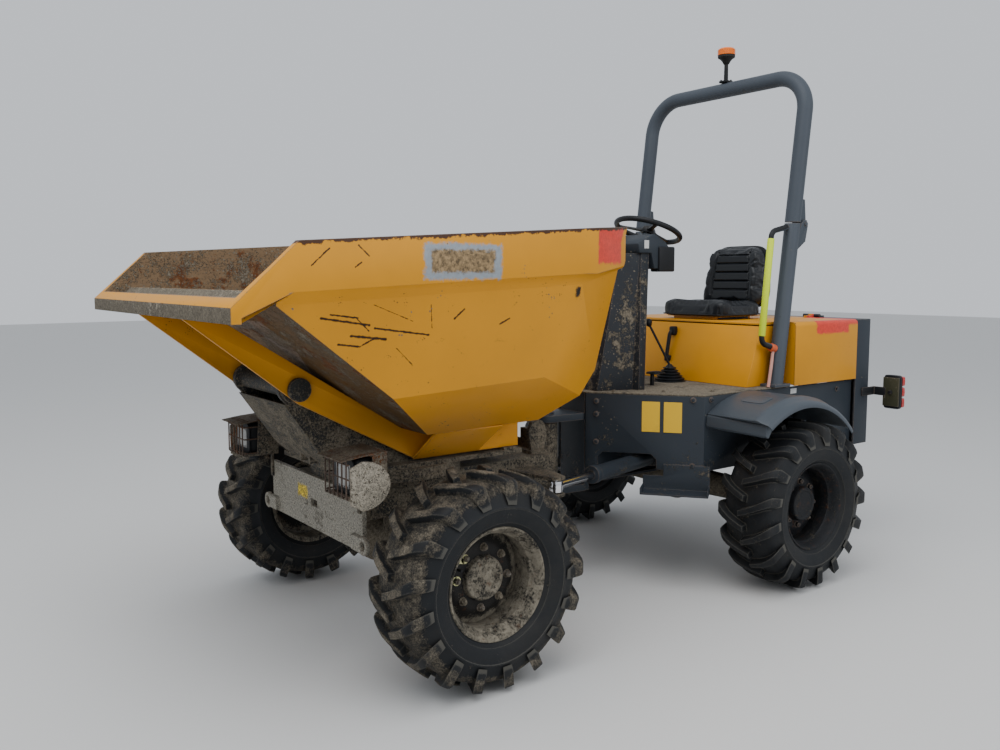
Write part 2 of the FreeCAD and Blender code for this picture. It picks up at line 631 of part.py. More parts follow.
def make_headlamp():
    y1 = LAMP_Y + LAMP_DEPTH
    case = block(LAMP_X - LAMP_HALF, LAMP_X + LAMP_HALF, LAMP_Y, y1 - 50, LAMP_Z - LAMP_HALF_HEIGHT,
                 LAMP_Z + LAMP_HALF_HEIGHT)
    case = case.makeFillet(18, [e for e in case.Edges if abs(e.tangentAt(e.FirstParameter).y) > 0.9])
    back = rod((LAMP_X, y1 - 50, LAMP_Z), (LAMP_X, y1, LAMP_Z), 46)
    lens = block(LAMP_X - LAMP_HALF + 12, LAMP_X + LAMP_HALF - 12, LAMP_Y - 12, LAMP_Y + 2,
                 LAMP_Z - LAMP_HALF_HEIGHT + 12, LAMP_Z + LAMP_HALF_HEIGHT - 12)
    lens = lens.makeFillet(5, lens.Edges)
    return fused([case, back, lens])


def make_lamp_guard():
    low = LAMP_Z - LAMP_HALF_HEIGHT
    high = LAMP_Z + LAMP_HALF_HEIGHT
    left = LAMP_X - LAMP_HALF - 12
    right = LAMP_X + LAMP_HALF + 12
    front = LAMP_Y - 42
    back = BUMPER_Y + 10
    hood = side_prism([(back, high + 14), (back, high + 20), (front - 22, high + 8), (front - 22, high + 2)],
                      left - 6, right + 6)
    shelf = block(left, right, front + 4, back, low - 8, low - SEAT_GAP)
    guard = side_prism([(back, high + 16), (front + 20, high + 6), (front - 12, high - 40), (front - 24, LAMP_Z - 20),
                        (front - 12, low + 10), (front + 26, low - 26), (back - 30, low - 8)], right, right + 6)
    inner = side_prism([(back, high + 16), (front + 70, high + 10), (front + 60, low - 8), (back, low - 8)],
                       left - 6, left)
    stay = block(left, BUMPER_HALF - 4, BUMPER_Y - 10 - SEAT_GAP - 10, BUMPER_Y - 10 - SEAT_GAP, BUMPER_TOP - 70, low - 4)
    half = CAGE_WIRE / 2
    pitch = (right - left - 16) / (CAGE_BARS - 1)
    bars = []
    for i in range(CAGE_BARS):
        x = left + 8 + i * pitch
        bars.append(block(x - half, x + half, front - half, front + half, low - 6, high + 5))
    for z in (low + 4, LAMP_Z, high - 14):
        bars.append(block(left - 4, right + 3, front - 1.6 * half, front + 1.6 * half, z - half, z + half))
    for z in (low + 4, high - 14):
        bars.append(block(left - 3, left + 3, front, front + 76, z - half, z + half))
    return fused([hood, shelf, guard, inner, stay] + bars)


# Rear frame

def along_plate():
    a = V(NOSE_HALF, NOSE_Y, 0)
    b = V(SHOULDER_X, SHOULDER_Y, 0)
    along = (b - a).normalize()
    return a, b, along, V(along.y, -along.x, 0)


def make_side_plate(notched):
    """The oblique front part and the straight flank in one plate, with the step bolted to it."""
    a, b, along, outward = along_plate()
    inner_a = a - outward * PLATE_SHEET
    inner_b = b - outward * PLATE_SHEET
    points = [(a.x, a.y), (b.x, b.y), (SHOULDER_X, REAR_PANEL_Y - SEAT_GAP),
              (SHOULDER_X - PLATE_SHEET, REAR_PANEL_Y - SEAT_GAP),
              (SHOULDER_X - PLATE_SHEET, inner_b.y + 4), (inner_a.x, inner_a.y)]
    plate = plan_prism(points, PLATE_BOTTOM, DECK_Z - DECK_SHEET - SEAT_GAP)
    if notched:
        profile = [(NOTCH_X0, PLATE_BOTTOM - 10), (NOTCH_X0, NOTCH_TOP - 26), (NOTCH_X0 + 22, NOTCH_TOP),
                   (NOTCH_X1 - 22, NOTCH_TOP), (NOTCH_X1, NOTCH_TOP - 26), (NOTCH_X1, PLATE_BOTTOM - 10)]
        plate = plate.cut(face_prism(profile, 0, SHOULDER_Y))
    return fused([plate, make_step()])


def make_deck():
    points = [(-NOSE_HALF, NOSE_Y), (NOSE_HALF, NOSE_Y), (SHOULDER_X, SHOULDER_Y), (SHOULDER_X, SEAT_BOX_REAR_Y),
              (-SHOULDER_X, SEAT_BOX_REAR_Y), (-SHOULDER_X, SHOULDER_Y)]
    return plan_prism(points, DECK_Z - DECK_SHEET, DECK_Z)


def make_rear_spine():
    start = NOSE_Y + 36
    flange = SPINE_HALF + SPINE_FLANGE
    inside = SPINE_HALF - SPINE_SHEET
    hat = [(-flange, SPINE_BOTTOM), (-flange, SPINE_BOTTOM + SPINE_SHEET), (-SPINE_HALF, SPINE_BOTTOM + SPINE_SHEET),
           (-SPINE_HALF, SPINE_TOP), (SPINE_HALF, SPINE_TOP), (SPINE_HALF, SPINE_BOTTOM + SPINE_SHEET),
           (flange, SPINE_BOTTOM + SPINE_SHEET), (flange, SPINE_BOTTOM), (inside, SPINE_BOTTOM),
           (inside, SPINE_TOP - SPINE_SHEET), (-inside, SPINE_TOP - SPINE_SHEET), (-inside, SPINE_BOTTOM)]
    spine = face_prism(hat, start, REAR_PANEL_Y - SEAT_GAP)
    nose_half = NOSE_HALF - 14
    nose = block(-nose_half, nose_half, NOSE_Y + 6, start + 2, HITCH_LOW_Z - 40, DECK_Z - DECK_SHEET - SEAT_GAP)
    low_web = side_prism([(start, HITCH_LOW_Z - 40), (start + 200, SPINE_TOP - SPINE_SHEET + 1),
                          (start, SPINE_TOP - SPINE_SHEET + 1)], -50, 50)
    yokes = []
    for z0 in (HITCH_HIGH_Z + MOVE_GAP, HITCH_LOW_Z - MOVE_GAP - YOKE_SHEET):
        tongue = plan_prism([(-78, PIVOT_Y), (78, PIVOT_Y), (NOSE_HALF - 14, NOSE_Y + 8), (-NOSE_HALF + 14, NOSE_Y + 8)],
                            z0, z0 + YOKE_SHEET)
        nose_round = Part.makeCylinder(78, YOKE_SHEET, V(0, PIVOT_Y, z0))
        yokes += [tongue, nose_round]
    pin = Part.makeCylinder(HITCH_PIN_RADIUS, HITCH_HIGH_Z - HITCH_LOW_Z + 112, V(0, PIVOT_Y, HITCH_LOW_Z - 56))
    cap = Part.makeCylinder(HITCH_PIN_RADIUS + 14, 14, V(0, PIVOT_Y, HITCH_HIGH_Z + MOVE_GAP + YOKE_SHEET))
    rx, ry = STEER_REAR
    ears = []
    for z0 in (STEER_Z + STEER_EYE_HALF + 2, STEER_Z - STEER_EYE_HALF - 2 - EAR_SHEET):
        tongue = block(SPINE_HALF - 4, rx, ry - STEER_EYE_RADIUS, ry + STEER_EYE_RADIUS, z0, z0 + EAR_SHEET)
        ears += [tongue, Part.makeCylinder(STEER_EYE_RADIUS, EAR_SHEET, V(rx, ry, z0))]
    pin_half = STEER_EYE_HALF + 2 + EAR_SHEET + 6
    steer_pin = Part.makeCylinder(STEER_PIN_RADIUS, 2 * pin_half, V(rx, ry, STEER_Z - pin_half))
    outriggers = [block(-SHOULDER_X + PLATE_SHEET + SEAT_GAP, SHOULDER_X - PLATE_SHEET - SEAT_GAP, y, y + 12,
                        SPINE_TOP - 60, SPINE_TOP) for y in (560, 1240, 1660)]
    tow_jaw = [block(-60, 60, REAR_PANEL_Y - 60, REAR_END_Y + 60, z0, z0 + 16) for z0 in (SPINE_BOTTOM, SPINE_BOTTOM + 72)]
    tow_back = block(-60, 60, REAR_PANEL_Y - 60, REAR_PANEL_Y + 60, SPINE_BOTTOM, SPINE_BOTTOM + 88)
    tow_hole = Part.makeCylinder(14, 120, V(0, REAR_END_Y + 32, SPINE_BOTTOM - 16))
    return fused([spine, nose, low_web, pin, cap, steer_pin, tow_back] + yokes + ears + outriggers + tow_jaw).cut(tow_hole)


def make_step():
    """A box step on the oblique plate. Its web is cut low at the front, where the steering ram swings past."""
    a, b, along, outward = along_plate()
    start = a + along * ((STEP_START_X - a.x) / along.x)
    end = start + along * STEP_LENGTH

    def strip(p, q, inner, outer, z0, z1):
        corners = [p + outward * inner, q + outward * inner, q + outward * outer, p + outward * outer]
        return plan_prism([(c.x, c.y) for c in corners], z0, z1)

    tread = strip(start, end, 0, STEP_DEPTH, STEP_Z, STEP_Z + STEP_SHEET)
    low_web = strip(start, end, 0, STEP_SHEET, STEP_Z, STEP_WEB_TOP)
    high_web = strip(start + along * STEP_RAM_ROOM, end, 0, STEP_SHEET, STEP_Z, PLATE_BOTTOM + 30)
    first = strip(start, start + along * STEP_SHEET, 0, STEP_DEPTH, STEP_Z, STEP_Z + STEP_LIP)
    last = strip(end - along * STEP_SHEET, end, 0, STEP_DEPTH, STEP_Z, STEP_Z + STEP_LIP)
    return fused([tread, low_web, high_web, first, last])


def make_mudguard():
    # across the guard, radius from the arch centre
    section = [(ARCH_INNER_X, ARCH_RADIUS), (ARCH_CROWN_X, ARCH_RADIUS), (ARCH_OUTER_X - 14, ARCH_EDGE_RADIUS + 22),
               (ARCH_OUTER_X, ARCH_EDGE_RADIUS), (ARCH_OUTER_X - ARCH_SHEET, ARCH_EDGE_RADIUS - 2),
               (ARCH_OUTER_X - 18, ARCH_EDGE_RADIUS + 16), (ARCH_CROWN_X - 2, ARCH_RADIUS - ARCH_SHEET),
               (ARCH_INNER_X, ARCH_RADIUS - ARCH_SHEET)]
    points = [V(x, ARCH_Y + r, ARCH_Z) for x, r in section]
    face = Part.Face(Part.makePolygon(points + [points[0]]))
    centre = V(0, ARCH_Y, ARCH_Z)
    face.rotate(centre, V(1, 0, 0), ARCH_REAR_DEG)
    return face.revolve(centre, V(1, 0, 0), ARCH_FRONT_DEG - ARCH_REAR_DEG)


def make_seat_box():
    foot = DECK_Z + SEAT_GAP
    top = SEAT_BOX_TOP - 6
    lean = (SEAT_BOX_HEAD_Y - SEAT_BOX_FOOT_Y) / (top - foot)
    sheet = PANEL_SHEET
    outer = side_prism([(SEAT_BOX_FOOT_Y, foot), (SEAT_BOX_HEAD_Y, top), (SEAT_BOX_REAR_Y, top), (SEAT_BOX_REAR_Y, foot)],
                       -SEAT_BOX_HALF, SEAT_BOX_HALF)
    inner = side_prism([(SEAT_BOX_FOOT_Y + sheet - lean, foot - 1), (SEAT_BOX_HEAD_Y + sheet + lean, top + 1),
                        (SEAT_BOX_REAR_Y + 1, top + 1), (SEAT_BOX_REAR_Y + 1, foot - 1)],
                       -SEAT_BOX_HALF + sheet, SEAT_BOX_HALF - sheet)
    return outer.cut(inner)


def make_knuckle(x, reach_y, foot_z):
    """One knuckle of the cover's hinge, on a leaf that reaches to reach_y and down to foot_z."""
    half = KNUCKLE_LENGTH / 2
    barrel = rod((x - half, HINGE_Y, HINGE_Z), (x + half, HINGE_Y, HINGE_Z), HINGE_RADIUS)
    leaf = block(x - half, x + half, min(HINGE_Y, reach_y), max(HINGE_Y, reach_y), foot_z, HINGE_Z)
    return fused([barrel, leaf])


def hinge_bore(x):
    half = KNUCKLE_LENGTH / 2 + 1
    return rod((x - half, HINGE_Y, HINGE_Z), (x + half, HINGE_Y, HINGE_Z), HINGE_PIN_RADIUS + RUN_GAP)


def make_engine_cover():
    sheet = PANEL_SHEET
    rear_y = REAR_PANEL_Y - MOVE_GAP
    top = block(-BONNET_HALF, BONNET_HALF, BONNET_FRONT_Y, rear_y, DECK_Z, BONNET_TOP)
    top = top.makeFillet(24, [e for e in top.Edges if abs(e.tangentAt(e.FirstParameter).y) > 0.9
                              and e.CenterOfMass.z > BONNET_TOP - 1])
    inside = block(-BONNET_HALF + sheet, BONNET_HALF - sheet, BONNET_FRONT_Y - 1, rear_y + 1, DECK_Z - 1,
                   BONNET_TOP - sheet)
    inside = inside.makeFillet(24 - sheet, [e for e in inside.Edges if abs(e.tangentAt(e.FirstParameter).y) > 0.9
                                            and e.CenterOfMass.z > BONNET_TOP - sheet - 1])
    lid = block(-SEAT_BOX_HALF, SEAT_BOX_HALF, SEAT_BOX_HEAD_Y, BONNET_FRONT_Y + 4, SEAT_BOX_TOP, BONNET_TOP)
    lid = lid.makeFillet(8, [e for e in lid.Edges if abs(e.tangentAt(e.FirstParameter).x) > 0.9
                             and e.CenterOfMass.z > BONNET_TOP - 1 and e.CenterOfMass.y < BONNET_FRONT_Y])
    knuckles = [make_knuckle(x, HINGE_Y - 50, BONNET_TOP - 1).cut(hinge_bore(x)) for x in (-HINGE_X, HINGE_X)]
    return fused([top.cut(inside), lid, make_seat_pan()] + knuckles)


def make_rear_panel():
    sheet = 8.0
    outer = block(-BODY_HALF, BODY_HALF, REAR_PANEL_Y, REAR_END_Y, PLATE_BOTTOM + 4, BONNET_TOP - 4)
    outer = outer.makeFillet(30, [e for e in outer.Edges if abs(e.tangentAt(e.FirstParameter).z) > 0.9
                                  and e.CenterOfMass.y > REAR_END_Y - 1])
    inner = block(-BODY_HALF + sheet, BODY_HALF - sheet, REAR_PANEL_Y - 1, REAR_END_Y - sheet, PLATE_BOTTOM + 4 + sheet,
                  BONNET_TOP - 4 - sheet)
    shell = outer.cut(inner)
    jaw = block(-62, 62, REAR_PANEL_Y - 2, REAR_END_Y + 2, PLATE_BOTTOM, SPINE_BOTTOM + 90)
    slots = [block(-400, 400, REAR_END_Y - 20, REAR_END_Y + 1, z, z + 14) for z in range(800, 1180, 40)]
    shell = shell.cut(Part.makeCompound(slots + [jaw]))
    step = KNUCKLE_LENGTH + 2 * SEAT_GAP
    fixed = []
    for x in (-HINGE_X, HINGE_X):
        fixed += [make_knuckle(x - step, HINGE_Y + 40, BONNET_TOP - 5), make_knuckle(x + step, HINGE_Y + 40, BONNET_TOP - 5)]
        reach = 1.5 * step
        fixed.append(rod((x - reach, HINGE_Y, HINGE_Z), (x + reach, HINGE_Y, HINGE_Z), HINGE_PIN_RADIUS))
    return fused([shell] + fixed)


def make_console():
    # half width, y at the foot; half width, y at the head
    foot = [(136, 178), (196, 365), (236, 372), (236, 412)]
    head = [(112, 352), (128, 470), (138, 476), (138, 530)]
    loops = []
    for section, z in ((foot, DECK_Z + SEAT_GAP), (head, CONSOLE_TOP_Z)):
        points = [(x, y) for x, y in section] + [(-x, y) for x, y in reversed(section)]
        corners = [V(x, y, z) for x, y in points]
        loops.append(Part.makePolygon(corners + [corners[0]]))
    tower = Part.makeLoft(loops, True, True)
    return tower


def make_dash():
    """The dash on top of the console with the stub of the steering shaft that stands out of it."""
    top = CONSOLE_TOP_Z
    profile = [(452, top + SEAT_GAP), (440, top + 50), (560, top + 100), (640, top + 60), (690, top + 10),
               (690, top - 80), (560, top - 80), (538, top + SEAT_GAP)]
    dash = side_prism(profile, -150, 150)
    lean = math.radians(WHEEL_LEAN)
    x, y, z = WHEEL_CENTRE
    direction = (0, math.sin(lean), math.cos(lean))
    below = WHEEL_HUB_DEPTH + SEAT_GAP
    start = (x, y - direction[1] * 80, z - direction[2] * 80)
    end = (x, y - direction[1] * below, z - direction[2] * below)
    return fused([dash, rod(start, end, 26)])


def make_steering_wheel():
    grip = Part.makeTorus(WHEEL_RADIUS, WHEEL_GRIP, V(0, 0, 0), V(0, 0, 1))
    hub = Part.makeCone(34, 26, WHEEL_HUB_DEPTH + 16, V(0, 0, -WHEEL_HUB_DEPTH), V(0, 0, 1))
    wheel = fused([grip, hub] + [rod((0, 0, 0), (WHEEL_RADIUS * math.cos(math.radians(a)),
                                                  WHEEL_RADIUS * math.sin(math.radians(a)), 0), 8)
                                 for a in (90, 210, 330)])
    wheel.rotate(V(0, 0, 0), V(1, 0, 0), -WHEEL_LEAN)
    wheel.translate(V(*WHEEL_CENTRE))
    return wheel


def post_y(z):
    return POST_FOOT_Y + (z - DECK_Z) * POST_LEAN


FOLD_Y = post_y(FOLD_Z) + 64.0


def make_post():
    foot_z = DECK_Z + SEAT_GAP
    tube = rod((POST_X, post_y(foot_z + 6), foot_z + 6), (POST_X, post_y(FOLD_Z + 40), FOLD_Z + 40), POST_RADIUS)
    tube = tube.common(block(0, 900, 800, 1500, foot_z, FOLD_Z - 3))
    plate = block(SEAT_BOX_HALF + 1, POST_X + 50, POST_FOOT_Y - 62, POST_FOOT_Y + 62, foot_z, foot_z + 14)
    ear = side_prism([(post_y(1640), 1640), (FOLD_Y + 4, FOLD_Z - 96), (FOLD_Y + 22, FOLD_Z - 16),
                      (FOLD_Y + 12, FOLD_Z + 14), (FOLD_Y - 12, FOLD_Z + 14), (post_y(FOLD_Z) + 30, FOLD_Z - 5)],
                     POST_X - 32, POST_X - 20)
    pin = rod((POST_X - 40, FOLD_Y, FOLD_Z - 6), (POST_X + 40, FOLD_Y, FOLD_Z - 6), 11)
    return fused([tube, plate, ear, ear.copy().translate(V(52, 0, 0)), pin, make_grab_rail()])


def make_hoop():
    z0 = FOLD_Z + 3
    points = [(POST_X, post_y(z0 - 60), z0 - 60), (POST_X, post_y(HOOP_TOP_Z), HOOP_TOP_Z),
              (-POST_X, post_y(HOOP_TOP_Z), HOOP_TOP_Z), (-POST_X, post_y(z0 - 60), z0 - 60)]
    tube = bent_pipe(points, HOOP_BEND, POST_RADIUS)
    tube = tube.common(block(-900, 900, 800, 1600, z0, 2800))
    knuckle = fused([rod((POST_X - 18, FOLD_Y, FOLD_Z - 6), (POST_X + 18, FOLD_Y, FOLD_Z - 6), 24),
                     side_prism([(FOLD_Y - 20, FOLD_Z + 8), (FOLD_Y + 23, FOLD_Z - 2), (FOLD_Y + 10, FOLD_Z + 120),
                                 (post_y(FOLD_Z + 130), FOLD_Z + 130), (post_y(FOLD_Z) + 20, FOLD_Z + 8)],
                                POST_X - 18, POST_X + 18)])
    bore = rod((POST_X - 60, FOLD_Y, FOLD_Z - 6), (POST_X + 60, FOLD_Y, FOLD_Z - 6), 11 + RUN_GAP)
    knuckle = knuckle.cut(bore)
    return fused([tube, knuckle, mirrored(knuckle)])


def make_grab_rail():
    top = 1772.0
    low = 1180.0
    return bent_pipe([(POST_X, post_y(top) - POST_RADIUS + 8, top), (POST_X, post_y(top) - 165, top - 26),
                      (POST_X, post_y(low) - 150, low), (POST_X, post_y(low) - POST_RADIUS + 8, low - 30)], 40, 13)


def make_beacon():
    x, y = 0.0, post_y(HOOP_TOP_Z)
    base = HOOP_TOP_Z + POST_RADIUS
    clamp = block(-26, 26, y - 30, y + 30, base + SEAT_GAP, base + 12)
    boot = Part.makeCone(24, 40, 52, V(x, y, base + 74))
    boot_top = Part.makeCylinder(42, 8, V(x, y, base + 126))
    return fused([Part.makeCylinder(11, 90, V(x, y, base + SEAT_GAP)), clamp, boot, boot_top])


def make_beacon_lens():
    y = post_y(HOOP_TOP_Z)
    base = HOOP_TOP_Z + POST_RADIUS + 134
    height = BEACON_TOP - base
    lens = Part.makeCylinder(39, height, V(0, y, base))
    return lens.makeFillet(16, [e for e in lens.Edges if e.CenterOfMass.z > BEACON_TOP - 1 and e.Length > 200])


def make_seat_pan():
    return fused([block(-150, 150, SEAT_FRONT_Y + 30, SEAT_FRONT_Y + 330, BONNET_TOP - 2, BONNET_TOP + 14),
                  block(-190, 190, SEAT_FRONT_Y + 20, SEAT_FRONT_Y + 400, BONNET_TOP + 14, SEAT_BASE_Z),
                  side_prism([(SEAT_FRONT_Y + 380, BONNET_TOP + 14), (SEAT_FRONT_Y + 412, BONNET_TOP + 14),
                              (SEAT_FRONT_Y + 424, SEAT_BASE_Z + 60), (SEAT_FRONT_Y + 412, SEAT_BASE_Z + 60)],
                             -90, 90)])


def make_cushion():
    cushion = block(-SEAT_HALF, SEAT_HALF, SEAT_FRONT_Y, SEAT_FRONT_Y + 375, SEAT_BASE_Z + SEAT_GAP, SEAT_TOP_Z)
    return cushion.makeFillet(22, cushion.Edges)


def make_backrest():
    profile = [(SEAT_FRONT_Y + 330, SEAT_TOP_Z + SEAT_GAP), (SEAT_FRONT_Y + 408, SEAT_TOP_Z + SEAT_GAP),
               (SEAT_FRONT_Y + 450, BACK_TOP_Z), (SEAT_FRONT_Y + 380, BACK_TOP_Z)]
    rest = side_prism(profile, -SEAT_HALF + 12, SEAT_HALF - 12)
    shoulders = [e for e in rest.Edges if abs(e.tangentAt(e.FirstParameter).y) > 0.7 and e.CenterOfMass.z > BACK_TOP_Z - 5]
    return rest.makeFillet(80, shoulders)


def make_tail_lamp():
    x0, x1 = BODY_HALF + 58, BODY_HALF + 160
    case = block(x0, x1, TAIL_Y - 52, TAIL_Y - 14, 775, 965)
    case = case.makeFillet(10, [e for e in case.Edges if abs(e.tangentAt(e.FirstParameter).y) > 0.9])
    lens = block(x0 + 8, x1 - 8, TAIL_Y - 14, TAIL_Y, 783, 957)
    lens = lens.makeFillet(5, lens.Edges)
    return fused([case, lens, make_tail_bracket()])


def make_tail_bracket():
    x0 = BODY_HALF + SEAT_GAP
    plate = block(x0, BODY_HALF + 150, TAIL_Y - 60, TAIL_Y - 52, 800, 940)
    arm = block(x0, x0 + 8, REAR_END_Y - 90, TAIL_Y - 56, 800, 940)
    return fused([plate, arm])


def make_controls():
    """Gear lever in its gaiter ahead of the seat box, a lever beside the dash and two pedals."""
    floor = DECK_Z + SEAT_GAP
    gaiter = Part.makeCone(60, 22, 74, V(40, 800, floor))
    lever = rod((40, 800, floor + 60), (-10, 770, floor + 300), 8)
    knob = Part.makeSphere(21, V(-10, 770, floor + 310))
    pedals = [fused([block(x - 34, x + 34, 560, 640, floor + 60, floor + 68), block(x - 8, x + 8, 566, 582, floor, floor + 62)])
              for x in (-150, 130)]
    return Part.makeCompound([fused([gaiter, lever, knob])] + pedals)


def main():
    os.makedirs("parts", exist_ok=True)

    tyre = make_tyre()
    front_rim = make_rim(FRONT_CAP_LENGTH, RIM_DISC_X)
    rear_rim = make_rim(REAR_CAP_LENGTH, RIM_DISC_X - 34)
    # name, side, axle, rim
    for name, side, axle_y, rim in (("front_left", 1, FRONT_AXLE_Y, front_rim), ("front_right", -1, FRONT_AXLE_Y, front_rim),
                                    ("rear_left", 1, REAR_AXLE_Y, rear_rim), ("rear_right", -1, REAR_AXLE_Y, rear_rim)):
        save("tyre_" + name, place_wheel(tyre, side, axle_y))
        save("rim_" + name, place_wheel(rim, side, axle_y))
    save("front_axle", make_axle(FRONT_AXLE_Y, FRONT_SPINE_HALF - 11, FRONT_SPINE_BOTTOM - SEAT_GAP))
    save("rear_axle", make_axle(REAR_AXLE_Y, SPINE_HALF + 15, SPINE_BOTTOM - SEAT_GAP))

    outer, shell = make_skip_shell()
    lug = make_rear_lug().cut(outer)
    save("skip_shell", fused([shell, make_lip_bar(), lug, mirrored(lug)]))
    rib = make_skip_rib(outer)
    save("skip_rib_left", rib)
    save("skip_rib_right", mirrored(rib))
    swivel = make_swivel_frame()
    ay, az = TIP_RAM_A
    by, bz = TIP_RAM_B
    base_pin = rod((-52, ay, az), (52, ay, az), TIP_PIN_RADIUS)
    save("swivel_frame", swivel.fuse(base_pin))
    barrel, ram_rod = make_ram((0, ay, az), (0, by, bz), (1, 0, 0), TIP_BARREL_RADIUS, TIP_ROD_RADIUS, TIP_EYE_RADIUS,
                               TIP_PIN_RADIUS, TIP_EYE_HALF, TIP_BARREL_REACH, 0.0)
    save("tip_barrel", barrel)
    save("tip_rod", ram_rod)

    save("front_chassis", make_front_chassis())
    save("bumper_plate", make_bumper())
    headlamp = make_headlamp()
    save("headlamp_left", headlamp)
    save("headlamp_right", mirrored(headlamp))
    lamp_guard = make_lamp_guard()
    save("lamp_guard_left", lamp_guard)
    save("lamp_guard_right", mirrored(lamp_guard))

    save("rear_spine", make_rear_spine())
    save("side_plate_left", make_side_plate(True))
    save("side_plate_right", mirrored(make_side_plate(False)))
    save("deck_plate", make_deck())
    guard = make_mudguard()
    save("mudguard_left", guard)
    save("mudguard_right", mirrored(guard))
    rear_pin = (STEER_REAR[0], STEER_REAR[1], STEER_Z)
    front_pin = (STEER_FRONT[0], STEER_FRONT[1], STEER_Z)
    steer_barrel, steer_rod = make_ram(rear_pin, front_pin, (0, 0, 1), STEER_BARREL_RADIUS, STEER_ROD_RADIUS,
                                       STEER_EYE_RADIUS, STEER_PIN_RADIUS, STEER_EYE_HALF, STEER_BARREL_REACH,
                                       STEER_STROKE)
    save("steer_barrel", steer_barrel)
    save("steer_rod", steer_rod)
    save("seat_box", make_seat_box())
    save("engine_cover", make_engine_cover())
    save("engine_block", block(-ENGINE_HALF, ENGINE_HALF, BONNET_FRONT_Y + 18, REAR_PANEL_Y - 60,
                               SPINE_TOP + SEAT_GAP, ENGINE_TOP))
    save("rear_panel", make_rear_panel())
    save("console_tower", make_console())
    save("dash_box", make_dash())
    save("steering_wheel", make_steering_wheel())
    post = make_post()
    save("rops_post_left", post)
    save("rops_post_right", mirrored(post))
    save("rops_hoop", make_hoop())
    save("beacon", fused([make_beacon(), make_beacon_lens()]))
    save("seat_cushion", make_cushion())
    save("seat_backrest", make_backrest())
    tail_lamp = make_tail_lamp()
    save("tail_lamp_left", tail_lamp)
    save("tail_lamp_right", mirrored(tail_lamp))
    save("controls", make_controls())


main()
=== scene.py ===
import math

import bpy
from bpy.props import FloatProperty, FloatVectorProperty, IntProperty, PointerProperty
from bpy.types import NodeSocket, Operator, Panel, PropertyGroup
from mathutils import Matrix, Vector


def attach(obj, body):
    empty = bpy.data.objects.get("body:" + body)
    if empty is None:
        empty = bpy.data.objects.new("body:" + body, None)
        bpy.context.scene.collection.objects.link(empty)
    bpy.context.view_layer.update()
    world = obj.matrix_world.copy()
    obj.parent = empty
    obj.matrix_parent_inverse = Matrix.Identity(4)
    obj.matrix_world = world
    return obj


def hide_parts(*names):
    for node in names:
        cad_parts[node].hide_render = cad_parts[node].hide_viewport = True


bl_info = {
    "name": "Site dumper finish",
    "version": (1, 0, 0),
    "blender": (4, 5, 0),
    "location": "View3D > Sidebar > Dumper",
    "description": "Builds the finished look of a swivel-skip site dumper on its packed frame",
    "category": "Object",
}

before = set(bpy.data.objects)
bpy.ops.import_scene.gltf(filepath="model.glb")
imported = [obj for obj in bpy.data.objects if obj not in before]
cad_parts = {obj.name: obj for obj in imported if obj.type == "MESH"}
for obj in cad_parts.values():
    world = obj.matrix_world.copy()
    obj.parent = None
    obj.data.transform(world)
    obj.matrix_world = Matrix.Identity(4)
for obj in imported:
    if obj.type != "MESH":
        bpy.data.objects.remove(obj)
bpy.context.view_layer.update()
X_AXIS = Vector((1, 0, 0))
Y_AXIS = Vector((0, 1, 0))
Z_AXIS = Vector((0, 0, 1))
FRONT_AXLE, REAR_AXLE = -1.0, 0.893
AXLE_HEIGHT = 0.410
WHEEL_OFFSET = 0.795
DISC_HALF = 0.006
FRONT_NUT_CIRCLE, REAR_NUT_CIRCLE = 0.115, 0.108


# Sizes and colours that a user would change

def colour(name, description, value):
    return FloatVectorProperty(name=name, description=description, subtype="COLOR", size=3, min=0, max=1,
                               default=value)


def length(name, description, value):
    return FloatProperty(name=name, description=description, subtype="DISTANCE", unit="LENGTH",
                         default=value)


class PaintSettings(PropertyGroup):
    skip_yellow: colour("Skip paint", "Orange-yellow enamel of the skip and covers", (0.61, 0.262, 0.008))
    frame_grey: colour("Frame paint", "Blue-grey enamel of the rear frame", (0.026, 0.033, 0.042))
    hoop_grey: colour("Hoop paint", "Grey enamel of the roll hoop", (0.054, 0.065, 0.080))
    mud: colour("Mud", "Dried grey-brown mud", (0.175, 0.150, 0.112))
    rust: colour("Rust", "Dark brown rust", (0.10, 0.038, 0.014))
    bare_steel: colour("Bare steel", "Scuffed steel where the paint is gone", (0.23, 0.21, 0.18))
    primer: colour("Primer", "Bare tan patch in its grey primer", (0.22, 0.15, 0.075))
    spray_red: colour("Marking spray", "Red marking spray at two corners", (0.62, 0.05, 0.03))
    rubber: colour("Rubber", "Tread rubber", (0.0075, 0.0085, 0.0098))
    vinyl: colour("Vinyl", "Seat vinyl", (0.0095, 0.0112, 0.0140))
    plastic: colour("Plastic", "Black moulded plastic", (0.011, 0.012, 0.014))
    sleeve: colour("Grip sleeve", "Bright sleeve on the grab rails", (0.60, 0.74, 0.02))
    amber: colour("Amber", "Beacon lens", (0.80, 0.17, 0.012))
    red: colour("Red", "Tail lamp lens", (0.42, 0.012, 0.008))
    label: colour("Label", "Yellow of the blank labels", (0.78, 0.48, 0.03))


class WheelSettings(PropertyGroup):
    lug_count: IntProperty(name="Lugs", description="Lugs on each half of the tread", default=17)
    front_dish: length("Front dish", "How far the front disc lies from the middle", 0.008)
    rear_dish: length("Rear dish", "How far the rear disc lies from the middle", 0.020)


